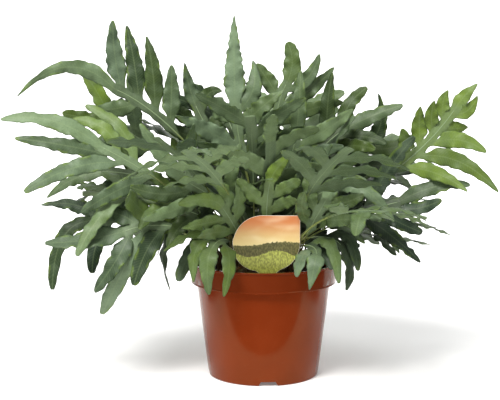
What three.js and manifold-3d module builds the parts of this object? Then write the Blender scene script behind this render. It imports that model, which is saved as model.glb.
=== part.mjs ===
// A potted polypody fern: long-stalked fronds cut into a few broad wavy lobes, growing from a branched
// creeping rhizome that lies half sunk in peat, in a plastic nursery pot with a stick-in plant label.
// Millimetres, +Z up. The origin is the middle of the pot's foot, and the label faces -Y.
import * as THREE from 'three';
import { mergeVertices } from 'three/addons/utils/BufferGeometryUtils.js';
import Module from 'manifold-3d';

const wasm = await Module();
wasm.setup();

// ---------------------------------------------------------------------------------------------
// Driving dimensions
// ---------------------------------------------------------------------------------------------
const FIT = 0.35; // clearance between pieces that touch on the real plant

// pot
const POT_SIDES = 36;
const POT_HEIGHT = 148;
const FOOT_RADIUS = 71.5;
const FOOT_RING_WIDTH = 6.5;
const WALL = 2;
const FLOOR_UNDERSIDE = 6;
const BOSS_RADIUS = 12;
const BODY_TOP_RADIUS = 86.5;
const BAND_BOTTOM = 121;
const BAND_BOTTOM_RADIUS = 93.5;
const BAND_FLOOR = 3; // thickness of the step from the body out to the band
const RIM_RADIUS = 97;
const LIP = 1.2;
const LIP_HEIGHT = 1.4;
const NOTCH = { count: 4, wide: 26, narrow: 18.5, turn: 5, depth: 20 };
const DRAIN = { count: 6, radius: 5, circle: 42, sides: 8 };

// soil and rhizome
const SOIL_EDGE = 134;
const SOIL_DOME = 5;
const SOIL_BUMP = 1.1;
const SOIL_RINGS = { outer: 66, inner: 30, outerRise: 2 };
const RHIZOME = {
  arms: 4, reach: 74, thick: 7.5, thin: 5.8, sides: 6, steps: 5, sway: 7, turn: 40, blunt: 0.6,
};
const SEATS_PER_ARM = 14;
const SEAT_FIRST = 9;
const SEAT_STEP = 4.7;
const SEAT_SIDE = 2.7;
const SEAT_DEPTH = 6;
const SEAT_SINK = 0.6; // how far below the bark's top a seat's mouth lies

// label: the card's own flat outline, x across and z up from the pot's foot
const LABEL = { y: -74, thick: 1.1, top: 216, left: -38, right: 45, side: 178, waist: 143, foot: 98 };
const STAKE = { middle: 5, width: 9, point: 12, neck: 14 };

// fronds
const STALK = { base: 1.45, top: 1.05 };
const BLADE_HALF = 0.45; // half the blade's thickness
const WING = 6.5; // half the width of the blade between two lobes
const LOBE_WIDTH = 18.5; // of the lobes at the back and the sides
const RUFFLE = 1.9; // how far a lobe's edge waves up and down
const SCALLOP = 0.07; // how much its width waves, as a share of it
const CUP = 0.12; // how much its edges hang, as a share of its half width
const CLEAR_OTHER = 4.6; // between two fronds
const CLEAR_OWN = 3.6; // between two lobes of one frond
const SAMPLE = 3.4; // spacing of the points that stand for a surface
const CROWN_COUNT = 27;
const GROUND_CLEAR = 6;
const POT_CLEAR = 4;
const RIM_CLEAR = 3;
const WALL_CLEAR = 6; // inside the wall
const SOIL_CLEAR = 10;

// ---------------------------------------------------------------------------------------------
// The fronds that the view from the front is made of, each as: the rib's last bend and its end,
// the way the blade faces, where the blade begins along the rib, how many steps it has, and the lobes as
// [step, side, tip x, tip y, tip z, width, arch]. A lobe with the side 0 is the one at the rib's end, and an
// arch lifts the lobe's middle.
// ---------------------------------------------------------------------------------------------
const TOWARDS_VIEWER = [0, -1, 0.25];
const SHOWN_FRONDS = [
  {
    name: 'frond_left_hand', rise: 60, bend: [-130, -55, 262], end: [-200, -66, 300], face: [0.1, -1, 0.45],
    from: 0.68, steps: 6,
    lobes: [
      [0, 0, -321, -80, 334, 19, 14], [5, -1, -302, -90, 312, 15, 32], [3, -1, -288, -110, 247, 18, 28],
      [0, -1, -222, -95, 221, 18], [4, 1, -238, -50, 333, 15], [2, 1, -225, -40, 350, 16],
    ],
  },
  {
    name: 'frond_upper_left', rise: 80, bend: [-122, -5, 343], end: [-190, -10, 370], face: [0, -1, 0.1],
    from: 0.66, steps: 8,
    lobes: [
      [0, 0, -309, -40, 359, 14, 37], [7, 1, -190, -14, 457, 18], [5, 1, -175, 4, 451, 16],
      [3, 1, -148, -16, 437, 17], [1, 1, -118, 4, 401, 17], [5, -1, -215, -45, 345, 17],
    ],
  },
  {
    name: 'frond_spike', rise: 90, bend: [-34, -22, 290], end: [-36, -20, 350], face: TOWARDS_VIEWER,
    from: 0.68, steps: 6,
    lobes: [
      [0, 0, -37, -20, 463, 24], [4, -1, -70, -36, 356, 16], [1, -1, -111, -45, 338, 20],
      [3, 1, 26, -24, 369, 18], [5, 1, -14, 5, 407, 18], [0, 1, 20, -40, 318, 16],
    ],
  },
  {
    name: 'frond_top_right', rise: 90, bend: [8, 12, 340], end: [30, 8, 378], face: TOWARDS_VIEWER,
    from: 0.7, steps: 6,
    lobes: [
      [0, 0, 30, 6, 430, 22, 4], [4, -1, -10, 0, 402, 17], [5, 1, 72, 14, 415, 15],
      [3, 1, 92, 12, 398, 17], [1, 1, 104, 24, 352, 15], [1, -1, -30, 10, 372, 16],
    ],
  },
  {
    name: 'frond_top_front', rise: 80, bend: [36, -26, 270], end: [41, -32, 316], face: [0.15, -1, 0.3],
    from: 0.66, steps: 6,
    lobes: [
      [0, 0, 46, -32, 394, 19], [4, 1, 114, -16, 345, 21], [2, 1, 100, -50, 300, 18],
      [3, -1, 2, -55, 345, 17], [1, -1, -22, -60, 300, 18], [0, 1, 86, -70, 262, 17],
    ],
  },
  {
    name: 'frond_right_mid', rise: 90, bend: [72, 8, 300], end: [108, 4, 320], face: [0, -1, 0.35],
    from: 0.68, steps: 6,
    lobes: [
      [0, 0, 179, 0, 350, 18], [4, 1, 157, -16, 300, 13, 16], [2, 1, 141, -24, 294, 15, 14],
      [5, -1, 134, 12, 372, 14], [3, -1, 88, 18, 392, 17], [0, 1, 96, -30, 250, 16],
    ],
  },
  {
    name: 'frond_right_hero', rise: 60, bend: [172, -16, 236], end: [240, -32, 347], face: [-0.1, -1, 0.2],
    from: 0.66, steps: 9,
    lobes: [
      [0, 0, 267, -32, 377, 15], [0, 1, 254, -55, 243, 17, 8], [2, 1, 292, -56, 242, 20, 14],
      [4, 1, 278, -44, 291, 20, 16], [6, 1, 258, -38, 322, 16], [8, 1, 268, -34, 362, 12],
      [1, -1, 174, -30, 321, 17], [3, -1, 196, -32, 349, 17], [5, -1, 212, -34, 356, 13],
      [7, -1, 230, -34, 369, 13],
    ],
  },
  {
    name: 'frond_right_low', rise: 50, bend: [120, -30, 216], end: [172, -28, 228], face: [0, -1, 0.5],
    from: 0.62, steps: 6,
    lobes: [
      [0, 0, 261, -34, 250, 18, 14], [5, 1, 225, -36, 232, 15, 8], [3, 1, 203, -24, 188, 13],
      [1, 1, 198, -48, 153, 17], [2, -1, 190, 10, 312, 20], [0, -1, 128, 0, 282, 17],
    ],
  },
  {
    name: 'frond_right_inner', rise: 70, bend: [60, -56, 240], end: [90, -66, 250], face: [0.2, -1, 0.6],
    from: 0.52, steps: 6,
    lobes: [
      [0, 0, 160, -84, 208, 17], [3, 1, 116, -100, 200, 16], [0, 1, 74, -98, 206, 15],
      [4, -1, 128, -74, 284, 17], [2, -1, 84, -84, 304, 18],
    ],
  },
  {
    name: 'frond_left_low', rise: 50, bend: [-125, -62, 214], end: [-172, -74, 196], face: [-0.1, -1, 0.6],
    from: 0.58, steps: 6,
    lobes: [
      [0, 0, -266, -100, 185, 20], [1, -1, -158, -100, 132, 17, 8], [3, -1, -204, -70, 86, 17],
      [5, -1, -209, -84, 122, 15], [4, 1, -206, -84, 222, 16], [2, 1, -158, -90, 248, 17],
    ],
  },
  {
    name: 'frond_left_dark', rise: 45, bend: [-162, -20, 215], end: [-216, -34, 204], face: [-0.2, -1, 0.7],
    from: 0.66, steps: 5,
    lobes: [
      [0, 0, -266, -52, 116, 16, 10], [3, -1, -214, -60, 140, 16], [4, 1, -286, -20, 222, 16],
      [2, 1, -240, -6, 252, 17],
    ],
  },
  {
    name: 'frond_left_behind', rise: 60, bend: [-150, 14, 268], end: [-210, 6, 262], face: [-0.2, -1, 0.6],
    from: 0.64, steps: 5,
    lobes: [
      [0, 0, -282, -12, 228, 17], [3, -1, -232, -26, 196, 17], [1, -1, -186, -26, 200, 17],
      [4, 1, -262, 6, 300, 16], [2, 1, -210, 14, 330, 17],
    ],
  },
  {
    name: 'frond_rim_left', rise: 36, bend: [-52, -84, 196], end: [-62, -102, 180], face: [0.1, -1, 1],
    from: 0.56, steps: 5,
    lobes: [
      [0, 0, -65, -114, 124, 16], [3, 1, -84, -110, 138, 15], [2, -1, -48, -118, 122, 13],
      [1, 1, -122, -96, 174, 16],
    ],
  },
  {
    name: 'frond_rim_right', rise: 34, bend: [68, -76, 186], end: [64, -104, 172], face: [0, -1, 1],
    from: 0.6, steps: 3,
    lobes: [
      [0, 0, 55, -112, 130, 15], [0, -1, 92, -98, 134, 12, 8], [1, 1, 40, -114, 146, 11],
    ],
  },
  {
    name: 'frond_right_hang', rise: 40, bend: [82, -44, 196], end: [97, -56, 176], face: [0.5, -1, 1],
    from: 0.6, steps: 4,
    lobes: [
      [0, 0, 103, -64, 120, 13], [2, -1, 117, -66, 146, 13], [1, 1, 84, -92, 150, 13],
    ],
  },
  {
    name: 'frond_rim_far_left', rise: 36, bend: [-80, 0, 196], end: [-106, 0, 186], face: [-0.5, -1, 0.8],
    from: 0.5, steps: 4,
    lobes: [
      [0, 0, -122, 10, 104, 16], [1, -1, -106, -60, 132, 15], [3, 1, -140, 10, 150, 15],
    ],
  },
  {
    name: 'frond_left_top_back', rise: 70, bend: [-150, 30, 312], end: [-212, 34, 325], face: [0, -1, 0.3],
    from: 0.66, steps: 5,
    lobes: [
      [0, 0, -262, 16, 338, 16], [4, 1, -238, 28, 394, 18], [2, 1, -176, 40, 398, 17],
      [3, -1, -232, 10, 286, 17], [1, -1, -180, 20, 262, 17],
    ],
  },
  {
    name: 'frond_top_back', rise: 80, bend: [-78, 30, 320], end: [-90, 34, 350], face: TOWARDS_VIEWER,
    from: 0.66, steps: 5,
    lobes: [
      [0, 0, -103, 30, 404, 16], [4, 1, -54, 30, 366, 13, 12], [3, -1, -130, 20, 372, 16],
      [2, 1, -40, 34, 330, 16], [1, -1, -140, 24, 330, 17],
    ],
  },
  {
    name: 'frond_middle_left', rise: 80, bend: [-78, -56, 240], end: [-100, -68, 262], face: TOWARDS_VIEWER,
    from: 0.6, steps: 6,
    lobes: [
      [0, 0, -150, -84, 330, 18], [4, -1, -165, -98, 252, 18], [2, -1, -146, -104, 214, 17],
      [5, 1, -84, -92, 330, 18], [3, 1, -44, -96, 286, 18], [0, -1, -70, -104, 200, 16],
    ],
  },
  {
    name: 'frond_left_inner', rise: 46, bend: [-72, -40, 214], end: [-104, -52, 222], face: [0, -1, 0.6],
    from: 0.5, steps: 5,
    lobes: [
      [0, 0, -158, -76, 198, 17], [3, -1, -118, -90, 176, 16], [1, -1, -78, -100, 184, 15],
      [4, 1, -138, -50, 272, 16], [2, 1, -78, -60, 276, 16],
    ],
  },
  {
    name: 'frond_middle_low', rise: 44, bend: [-2, -20, 206], end: [2, -30, 226], face: TOWARDS_VIEWER,
    from: 0.5, steps: 4,
    lobes: [
      [0, 0, 8, -34, 288, 16], [3, -1, -50, -44, 262, 15], [2, 1, 50, -46, 252, 15],
      [1, -1, -54, -66, 222, 15],
    ],
  },
  {
    name: 'frond_middle_front', rise: 50, bend: [-30, -44, 214], end: [-38, -56, 236], face: [0, -1, 0.6],
    from: 0.55, steps: 4,
    lobes: [
      [0, 0, -28, -62, 304, 17], [3, -1, -96, -84, 236, 16, 10], [1, -1, -88, -88, 204, 16],
      [2, 1, 12, -84, 262, 16], [0, 1, 8, -90, 232, 15],
    ],
  },
  {
    name: 'frond_middle_right', rise: 50, bend: [30, -22, 210], end: [36, -30, 230], face: [0.2, -1, 0.5],
    from: 0.55, steps: 4,
    lobes: [
      [0, 0, 58, -46, 296, 16], [3, 1, 104, -40, 270, 16, 8], [1, 1, 88, -84, 206, 16],
      [2, -1, -8, -66, 268, 16],
    ],
  },
  {
    name: 'frond_right_back', rise: 80, bend: [112, 44, 270], end: [142, 46, 300], face: [0, -1, 0.3],
    from: 0.66, steps: 5,
    lobes: [
      [0, 0, 150, 40, 364, 19], [4, 1, 214, 36, 318, 17], [2, 1, 202, 30, 262, 17],
      [3, -1, 104, 40, 348, 17],
    ],
  },
  {
    name: 'frond_inner_left', rise: 30, bend: [-34, -8, 186], end: [-58, -14, 198], face: [0, -1, 0.5],
    from: 0.42, steps: 4,
    lobes: [
      [0, 0, -116, -30, 214, 17], [2, 1, -74, -22, 250, 17], [0, 1, -26, -20, 236, 16],
      [3, -1, -110, -40, 176, 16], [1, -1, -62, -56, 174, 15],
    ],
  },
  {
    name: 'frond_inner_middle', rise: 40, bend: [10, 26, 214], end: [20, 22, 236], face: [0, -1, 0.4],
    from: 0.42, steps: 4,
    lobes: [
      [0, 0, 24, 4, 302, 17], [2, -1, -34, 0, 268, 17], [1, 1, 56, 0, 236, 17],
      [0, -1, -22, -14, 206, 15],
    ],
  },
  {
    name: 'frond_inner_right', rise: 30, bend: [54, -28, 178], end: [80, -34, 188], face: [0.2, -1, 0.5],
    from: 0.42, steps: 4,
    lobes: [
      [0, 0, 128, -50, 198, 16], [2, -1, 100, -30, 232, 16], [0, -1, 56, -34, 226, 15],
      [1, 1, 94, -66, 166, 14], [3, 1, 124, -60, 172, 14],
    ],
  },
];

// ---------------------------------------------------------------------------------------------
// Small helpers
// ---------------------------------------------------------------------------------------------
const UP = new THREE.Vector3(0, 0, 1);
const degrees = (angle) => (angle * Math.PI) / 180;
const vector = (list) => new THREE.Vector3(list[0], list[1], list[2]);
const mix = (a, b, t) => a + (b - a) * t;

// a repeatable draw between 0 and 1 for each seed
function draw(seed) {
  const value = Math.sin(seed * 12.9898 + 4.1414) * 43758.5453;
  return value - Math.floor(value);
}

const spread = (seed, amount) => (draw(seed) * 2 - 1) * amount;

function geometryOf(positions, triangles) {
  const geometry = new THREE.BufferGeometry();
  geometry.setAttribute('position', new THREE.Float32BufferAttribute(positions, 3));
  geometry.setIndex(triangles);
  return geometry;
}

function solidOf(geometry) {
  const bare = geometry.clone();
  bare.deleteAttribute('normal');
  bare.deleteAttribute('uv');
  const merged = mergeVertices(bare, 1e-4);
  return new wasm.Manifold(new wasm.Mesh({
    numProp: 3,
    vertProperties: new Float32Array(merged.attributes.position.array),
    triVerts: new Uint32Array(merged.index.array),
  }));
}

function geometryOfSolid(solid) {
  const mesh = solid.getMesh();
  return geometryOf(Array.from(mesh.vertProperties), Array.from(mesh.triVerts));
}

// a closed body through rings of equally many points, its two ends closed by fans
function loft(rings) {
  const sides = rings[0].length;
  const positions = rings.flatMap((ring) => ring.flatMap((point) => point.toArray()));
  const triangles = [];
  for (let ring = 0; ring < rings.length - 1; ring += 1) {
    for (let side = 0; side < sides; side += 1) {
      const next = (side + 1) % sides;
      const a = ring * sides + side;
      const b = ring * sides + next;
      triangles.push(a, b, b + sides, a, b + sides, a + sides);
    }
  }
  const last = (rings.length - 1) * sides;
  for (let side = 1; side < sides - 1; side += 1) {
    triangles.push(0, side + 1, side);
    triangles.push(last, last + side, last + side + 1);
  }
  return geometryOf(positions, triangles);
}

// a ring of points round a centre, in the plane of two unit vectors
function ringAround(centre, across, along, radius, sides) {
  const points = [];
  for (let side = 0; side < sides; side += 1) {
    const angle = (2 * Math.PI * side) / sides;
    points.push(centre.clone()
      .addScaledVector(across, radius * Math.cos(angle))
      .addScaledVector(along, radius * Math.sin(angle)));
  }
  return points;
}

// ---------------------------------------------------------------------------------------------
// Pot
// ---------------------------------------------------------------------------------------------
function bodyRadius(z) {
  return mix(FOOT_RADIUS, BODY_TOP_RADIUS, z / BAND_BOTTOM);
}

function bandRadius(z) {
  return mix(BAND_BOTTOM_RADIUS, RIM_RADIUS, (z - BAND_BOTTOM) / (POT_HEIGHT - BAND_BOTTOM));
}

function turned(profile, sides) {
  const points = profile.map(([radius, z]) => new THREE.Vector2(radius, z));
  const geometry = new THREE.LatheGeometry(points, sides);
  geometry.rotateX(Math.PI / 2);
  return geometry;
}

function potSolid() {
  const floorTop = FLOOR_UNDERSIDE + WALL;
  const ringInner = FOOT_RADIUS - FOOT_RING_WIDTH;
  const bandInnerBottom = bandRadius(BAND_BOTTOM + BAND_FLOOR) - WALL;
  const profile = [
    [0, 0],
    [BOSS_RADIUS, 0],
    [BOSS_RADIUS + 2, FLOOR_UNDERSIDE],
    [ringInner - 2, FLOOR_UNDERSIDE],
    [ringInner, 0],
    [FOOT_RADIUS - 1, 0],
    [FOOT_RADIUS, 1.2],
    [BODY_TOP_RADIUS, BAND_BOTTOM - 1],
    [BAND_BOTTOM_RADIUS - 0.5, BAND_BOTTOM],
    [BAND_BOTTOM_RADIUS, BAND_BOTTOM + 1.5],
    [RIM_RADIUS - 0.4, POT_HEIGHT - LIP_HEIGHT - 1.1],
    [RIM_RADIUS + LIP, POT_HEIGHT - LIP_HEIGHT],
    [RIM_RADIUS + LIP, POT_HEIGHT],
    [RIM_RADIUS - WALL, POT_HEIGHT],
    [bandInnerBottom, BAND_BOTTOM + BAND_FLOOR],
    [BODY_TOP_RADIUS - WALL, BAND_BOTTOM],
    [bodyRadius(floorTop) - WALL, floorTop],
    [BOSS_RADIUS, floorTop],
    [BOSS_RADIUS - 2, WALL],
    [0, WALL],
  ];
  let pot = solidOf(turned(profile, POT_SIDES));
  for (let k = 0; k < NOTCH.count; k += 1) {
    const outline = new THREE.Shape([
      new THREE.Vector2(-NOTCH.wide / 2, -1),
      new THREE.Vector2(NOTCH.wide / 2, -1),
      new THREE.Vector2(NOTCH.narrow / 2, FLOOR_UNDERSIDE - 0.5),
      new THREE.Vector2(-NOTCH.narrow / 2, FLOOR_UNDERSIDE - 0.5),
    ]);
    const cutter = new THREE.ExtrudeGeometry(outline, { depth: NOTCH.depth, bevelEnabled: false });
    cutter.rotateX(Math.PI / 2);
    cutter.translate(0, -(ringInner - 6), 0);
    cutter.rotateZ(degrees(NOTCH.turn) + (k * 2 * Math.PI) / NOTCH.count);
    pot = pot.subtract(solidOf(cutter));
  }
  for (let k = 0; k < DRAIN.count; k += 1) {
    const hole = new THREE.CylinderGeometry(DRAIN.radius, DRAIN.radius, 8, DRAIN.sides);
    const angle = (k * 2 * Math.PI) / DRAIN.count;
    hole.rotateX(Math.PI / 2);
    hole.translate(DRAIN.circle * Math.cos(angle), DRAIN.circle * Math.sin(angle), floorTop);
    pot = pot.subtract(solidOf(hole));
  }
  return pot;
}

// ---------------------------------------------------------------------------------------------
// Rhizome and its seats
// ---------------------------------------------------------------------------------------------
const SOIL_TOP = SOIL_EDGE + SOIL_DOME;

function armPoint(arm, distance) {
  const angle = degrees(RHIZOME.turn) + (arm * 2 * Math.PI) / RHIZOME.arms;
  const outward = new THREE.Vector3(Math.cos(angle), Math.sin(angle), 0);
  const sideways = new THREE.Vector3(-Math.sin(angle), Math.cos(angle), 0);
  const sway = RHIZOME.sway * Math.sin((distance / RHIZOME.reach) * Math.PI * 1.5);
  const sink = 3 * (distance / RHIZOME.reach) ** 2;
  return outward.multiplyScalar(distance).addScaledVector(sideways, sway).setZ(SOIL_TOP + 1 - sink);
}

function armRadius(distance) {
  return mix(RHIZOME.thick, RHIZOME.thin, distance / RHIZOME.reach);
}

function armSolid(arm, extra) {
  const rings = [];
  for (let step = -1; step <= RHIZOME.steps; step += 1) {
    const distance = (RHIZOME.reach * step) / RHIZOME.steps;
    const here = armPoint(arm, distance);
    const ahead = armPoint(arm, distance + 1);
    const forward = ahead.sub(here).normalize();
    const across = forward.clone().cross(UP).normalize();
    const above = across.clone().cross(forward);
    const blunt = step === RHIZOME.steps ? RHIZOME.blunt : 1;
    const centre = here.addScaledVector(forward, step === RHIZOME.steps ? extra : 0);
    const radius = armRadius(Math.max(distance, 0)) * blunt + extra;
    rings.push(ringAround(centre, above, across, radius, RHIZOME.sides));
  }
  return solidOf(loft(rings));
}

function rhizomeBody(extra) {
  let body = armSolid(0, extra);
  for (let arm = 1; arm < RHIZOME.arms; arm += 1) {
    body = body.add(armSolid(arm, extra));
  }
  return body;
}

function seatList() {
  const seats = [];
  for (let arm = 0; arm < RHIZOME.arms; arm += 1) {
    for (let k = 0; k < SEATS_PER_ARM; k += 1) {
      const distance = SEAT_FIRST + k * SEAT_STEP;
      const here = armPoint(arm, distance);
      const forward = armPoint(arm, distance + 1).sub(here).normalize();
      const across = forward.clone().cross(UP).normalize();
      const side = k % 2 === 0 ? 1 : -1;
      const radius = armRadius(distance);
      here.addScaledVector(across, side * SEAT_SIDE);
      here.z += Math.sqrt(radius * radius - SEAT_SIDE * SEAT_SIDE) - SEAT_SINK;
      seats.push({ place: here, taken: false });
    }
  }
  return seats;
}

const seats = seatList();

// each frond takes the free seat nearest to where it leans, a low frond further out
const LEAN = { low: 0.4, high: 0.24, lowBelow: 230 };

function takeSeat(end) {
  const outward = end.z < LEAN.lowBelow ? LEAN.low : LEAN.high;
  const lean = new THREE.Vector3(end.x * outward, end.y * outward, 0);
  let best = null;
  let bestDistance = Infinity;
  for (const seat of seats) {
    const distance = Math.hypot(seat.place.x - lean.x, seat.place.y - lean.y);
    if (!seat.taken && distance < bestDistance) {
      best = seat;
      bestDistance = distance;
    }
  }
  best.taken = true;
  return best.place;
}

// ---------------------------------------------------------------------------------------------
// Soil
// ---------------------------------------------------------------------------------------------
function soilSolid() {
  const floor = FLOOR_UNDERSIDE + WALL + FIT;
  const wallAt = (z) => bodyRadius(z) - WALL - FIT;
  const edge = bandRadius(SOIL_EDGE) - WALL - FIT - 0.15;
  const rings = [
    [edge, SOIL_EDGE],
    [SOIL_RINGS.outer, SOIL_EDGE + SOIL_RINGS.outerRise],
    [SOIL_RINGS.inner, SOIL_TOP],
    [0, SOIL_TOP],
  ];
  const profile = [
    [0, floor],
    [wallAt(floor) - 0.3, floor],
    [wallAt(BAND_BOTTOM) - 0.3, BAND_BOTTOM + 0.6],
    [bandRadius(BAND_BOTTOM + 4) - WALL - FIT - 0.5, BAND_BOTTOM + 4],
    ...rings,
  ];
  const geometry = turned(profile, POT_SIDES);
  const position = geometry.attributes.position;
  const loose = (radius) => radius > 15 && radius < edge - 5;
  for (let k = 0; k < position.count; k += 1) {
    const x = position.getX(k);
    const y = position.getY(k);
    const z = position.getZ(k);
    if (z > SOIL_EDGE && loose(Math.hypot(x, y))) {
      position.setZ(k, z + spread(Math.round(x) + 7.3 * Math.round(y), SOIL_BUMP));
    }
  }
  return solidOf(geometry);
}

// ---------------------------------------------------------------------------------------------
// Label: a card with a rounded upper left corner and a square one on the right, narrowing to its stake
// ---------------------------------------------------------------------------------------------
function labelSolid(extra) {
  const outline = new THREE.Shape();
  const stake = STAKE.width / 2 + extra;
  const neckHeight = LABEL.waist - STAKE.neck;
  const right = LABEL.right + extra;
  outline.moveTo(STAKE.middle, LABEL.foot - extra);
  outline.lineTo(STAKE.middle + stake, LABEL.foot + STAKE.point);
  outline.lineTo(STAKE.middle + stake + 1, neckHeight);
  outline.quadraticCurveTo(right, LABEL.waist + STAKE.neck, right, LABEL.side);
  outline.lineTo(right, LABEL.top);
  outline.lineTo(LABEL.left + 34, LABEL.top);
  outline.quadraticCurveTo(LABEL.left + 12, LABEL.top - 8, LABEL.left - extra, LABEL.top - 30);
  outline.quadraticCurveTo(LABEL.left + 14, LABEL.top - 64, STAKE.middle - stake - 1, neckHeight);
  outline.lineTo(STAKE.middle - stake, LABEL.foot + STAKE.point);
  const options = { depth: LABEL.thick + 2 * extra, bevelEnabled: false, curveSegments: 5 };
  const card = new THREE.ExtrudeGeometry(outline, options);
  card.rotateX(Math.PI / 2);
  card.translate(0, LABEL.y + LABEL.thick / 2 + extra, 0);
  return solidOf(card);
}

// ---------------------------------------------------------------------------------------------
// Clearance: every surface stands as a cloud of points in a grid of cells
// ---------------------------------------------------------------------------------------------
const cells = new Map();
const CELL = 6;
const cellKey = (i, j, k) => (i + 512) * 1048576 + (j + 512) * 1024 + (k + 512);

function remember(point, frond, open) {
  const key = cellKey(Math.floor(point.x / CELL), Math.floor(point.y / CELL), Math.floor(point.z / CELL));
  if (!cells.has(key)) {
    cells.set(key, []);
  }
  cells.get(key).push({ point, frond, open });
}

function isCrowded(point, frond, open) {
  const i = Math.floor(point.x / CELL);
  const j = Math.floor(point.y / CELL);
  const k = Math.floor(point.z / CELL);
  for (let a = i - 1; a <= i + 1; a += 1) {
    for (let b = j - 1; b <= j + 1; b += 1) {
      for (let c = k - 1; c <= k + 1; c += 1) {
        for (const other of cells.get(cellKey(a, b, c)) ?? []) {
          const own = other.frond === frond;
          const limit = own ? CLEAR_OWN : CLEAR_OTHER;
          const counts = !own || (open && other.open);
          if (counts && other.point.distanceTo(point) < limit) {
            return true;
          }
        }
      }
    }
  }
  return false;
}

// the pot's wall, the soil and the ground keep the foliage out
function isBlocked(point) {
  const radius = Math.hypot(point.x, point.y);
  if (point.z < GROUND_CLEAR) {
    return true;
  }
  if (point.z > POT_HEIGHT + RIM_CLEAR) {
    return false;
  }
  const besideBand = point.z > BAND_BOTTOM - POT_CLEAR;
  const outer = besideBand ? bandRadius(Math.max(point.z, BAND_BOTTOM)) + LIP : bodyRadius(point.z);
  if (radius > outer + POT_CLEAR) {
    return false;
  }
  return radius > RIM_RADIUS - WALL - WALL_CLEAR || point.z < SOIL_TOP + SOIL_CLEAR;
}

// ---------------------------------------------------------------------------------------------
// A frond as one thick sheet: points with a normal and half a thickness, and triangles
// ---------------------------------------------------------------------------------------------
class Sheet {
  constructor() {
    this.points = [];
    this.faces = [];
  }

  point(place, normal, half) {
    this.points.push({ place: place.clone(), normal: normal.clone(), half });
    return this.points.length - 1;
  }

  quad(a, b, c, d) {
    this.faces.push([a, b, c], [a, c, d]);
  }

  triangle(a, b, c) {
    this.faces.push([a, b, c]);
  }

  // the sheet's two faces, and a wall along every edge that has one triangle only
  geometry() {
    const count = this.points.length;
    const positions = [];
    for (const direction of [1, -1]) {
      for (const { place, normal, half } of this.points) {
        positions.push(...place.clone().addScaledVector(normal, direction * half).toArray());
      }
    }
    const triangles = [];
    const edges = new Set();
    for (const [a, b, c] of this.faces) {
      triangles.push(a, b, c, a + count, c + count, b + count);
      edges.add(`${a}_${b}`);
      edges.add(`${b}_${c}`);
      edges.add(`${c}_${a}`);
    }
    for (const edge of edges) {
      const [u, v] = edge.split('_').map(Number);
      if (!edges.has(`${v}_${u}`)) {
        triangles.push(u, u + count, v + count, u, v + count, v);
      }
    }
    return geometryOf(positions, triangles);
  }
}

// ---------------------------------------------------------------------------------------------
// Ribs
// ---------------------------------------------------------------------------------------------
const RIB_SAMPLES = 60;

// a cubic curve with its length measured, so that stations lie at even steps
function ribCurve(start, rise, bend, end) {
  const curve = new THREE.CubicBezierCurve3(start, start.clone().addScaledVector(UP, rise), bend, end);
  const lengths = [0];
  let last = curve.getPoint(0);
  for (let k = 1; k <= RIB_SAMPLES; k += 1) {
    const here = curve.getPoint(k / RIB_SAMPLES);
    lengths.push(lengths[k - 1] + here.distanceTo(last));
    last = here;
  }
  return { curve, lengths, total: lengths[RIB_SAMPLES] };
}

function ribParameter(rib, fraction) {
  const target = fraction * rib.total;
  let k = 1;
  while (k < RIB_SAMPLES && rib.lengths[k] < target) {
    k += 1;
  }
  const share = (target - rib.lengths[k - 1]) / (rib.lengths[k] - rib.lengths[k - 1]);
  return (k - 1 + share) / RIB_SAMPLES;
}

// place, forward, across and upper normal of the rib at a fraction of its length
function ribFrame(rib, fraction, face) {
  const t = ribParameter(rib, fraction);
  const place = rib.curve.getPoint(t);
  const forward = rib.curve.getTangent(t).normalize();
  const across = forward.clone().cross(face).normalize();
  const normal = across.clone().cross(forward).normalize();
  return { place, forward, across, normal };
}

function stalkSections(frond) {
  const { rib, from, face } = frond;
  const sections = [];
  for (const share of [0, 0.25, 0.55, 0.92]) {
    sections.push({ frame: ribFrame(rib, share * from, face), half: mix(STALK.base, STALK.top, share) });
  }
  return sections;
}

function stationFraction(frond, step) {
  return frond.from + (1 - frond.from) * (step / frond.steps);
}

// points along the stalk, and across the strip that joins the lobes
function ribSamples(frond) {
  const { rib, face, from } = frond;
  const count = Math.ceil(rib.total / SAMPLE);
  const samples = [];
  for (let k = 0; k <= count; k += 1) {
    const { place, across } = ribFrame(rib, k / count, face);
    const sides = k / count > from ? [-1, -0.4, 0.4, 1] : [0];
    const atBase = rib.total * (k / count) < 16;
    for (const side of sides) {
      const point = place.clone().addScaledVector(across, side * WING);
      samples.push({ point, atBase, open: k / count < from - 0.04 });
    }
  }
  return samples;
}

// a rib is clear when it stays away from every other frond, the pot and the soil
function ribIsClear(frond) {
  return ribSamples(frond).every(({ point, atBase }) => {
    const blocked = !atBase && isBlocked(point);
    return !blocked && !isCrowded(point, frond.name, false);
  });
}

function rememberRib(frond) {
  for (const { point, open } of ribSamples(frond)) {
    remember(point, frond.name, open);
  }
}

// ---------------------------------------------------------------------------------------------
// Lobes
// ---------------------------------------------------------------------------------------------
// the ways a lobe may bend clear of its neighbours, tried in this order: [share of its length, bend]
const BENDS = [];
for (const share of [1, 0.86, 0.72, 0.58]) {
  for (const bend of [0, 8, -8, 16, -16, 24, -24, 34, -34, 46, -46]) {
    BENDS.push([share, bend]);
  }
}

// the lobe's share of its full width along it: a strap that ends bluntly
const BLUNT_FROM = 0.8;

function lobeProfile(t) {
  const swell = 0.8 + 0.2 * Math.sin(Math.PI * Math.min(1, 0.12 + t));
  const taper = 1.06 - 0.22 * t;
  const beyond = Math.max(0, (t - BLUNT_FROM) / (1 - BLUNT_FROM));
  return swell * taper * Math.sqrt(Math.max(0, 1 - beyond ** 2));
}

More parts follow.
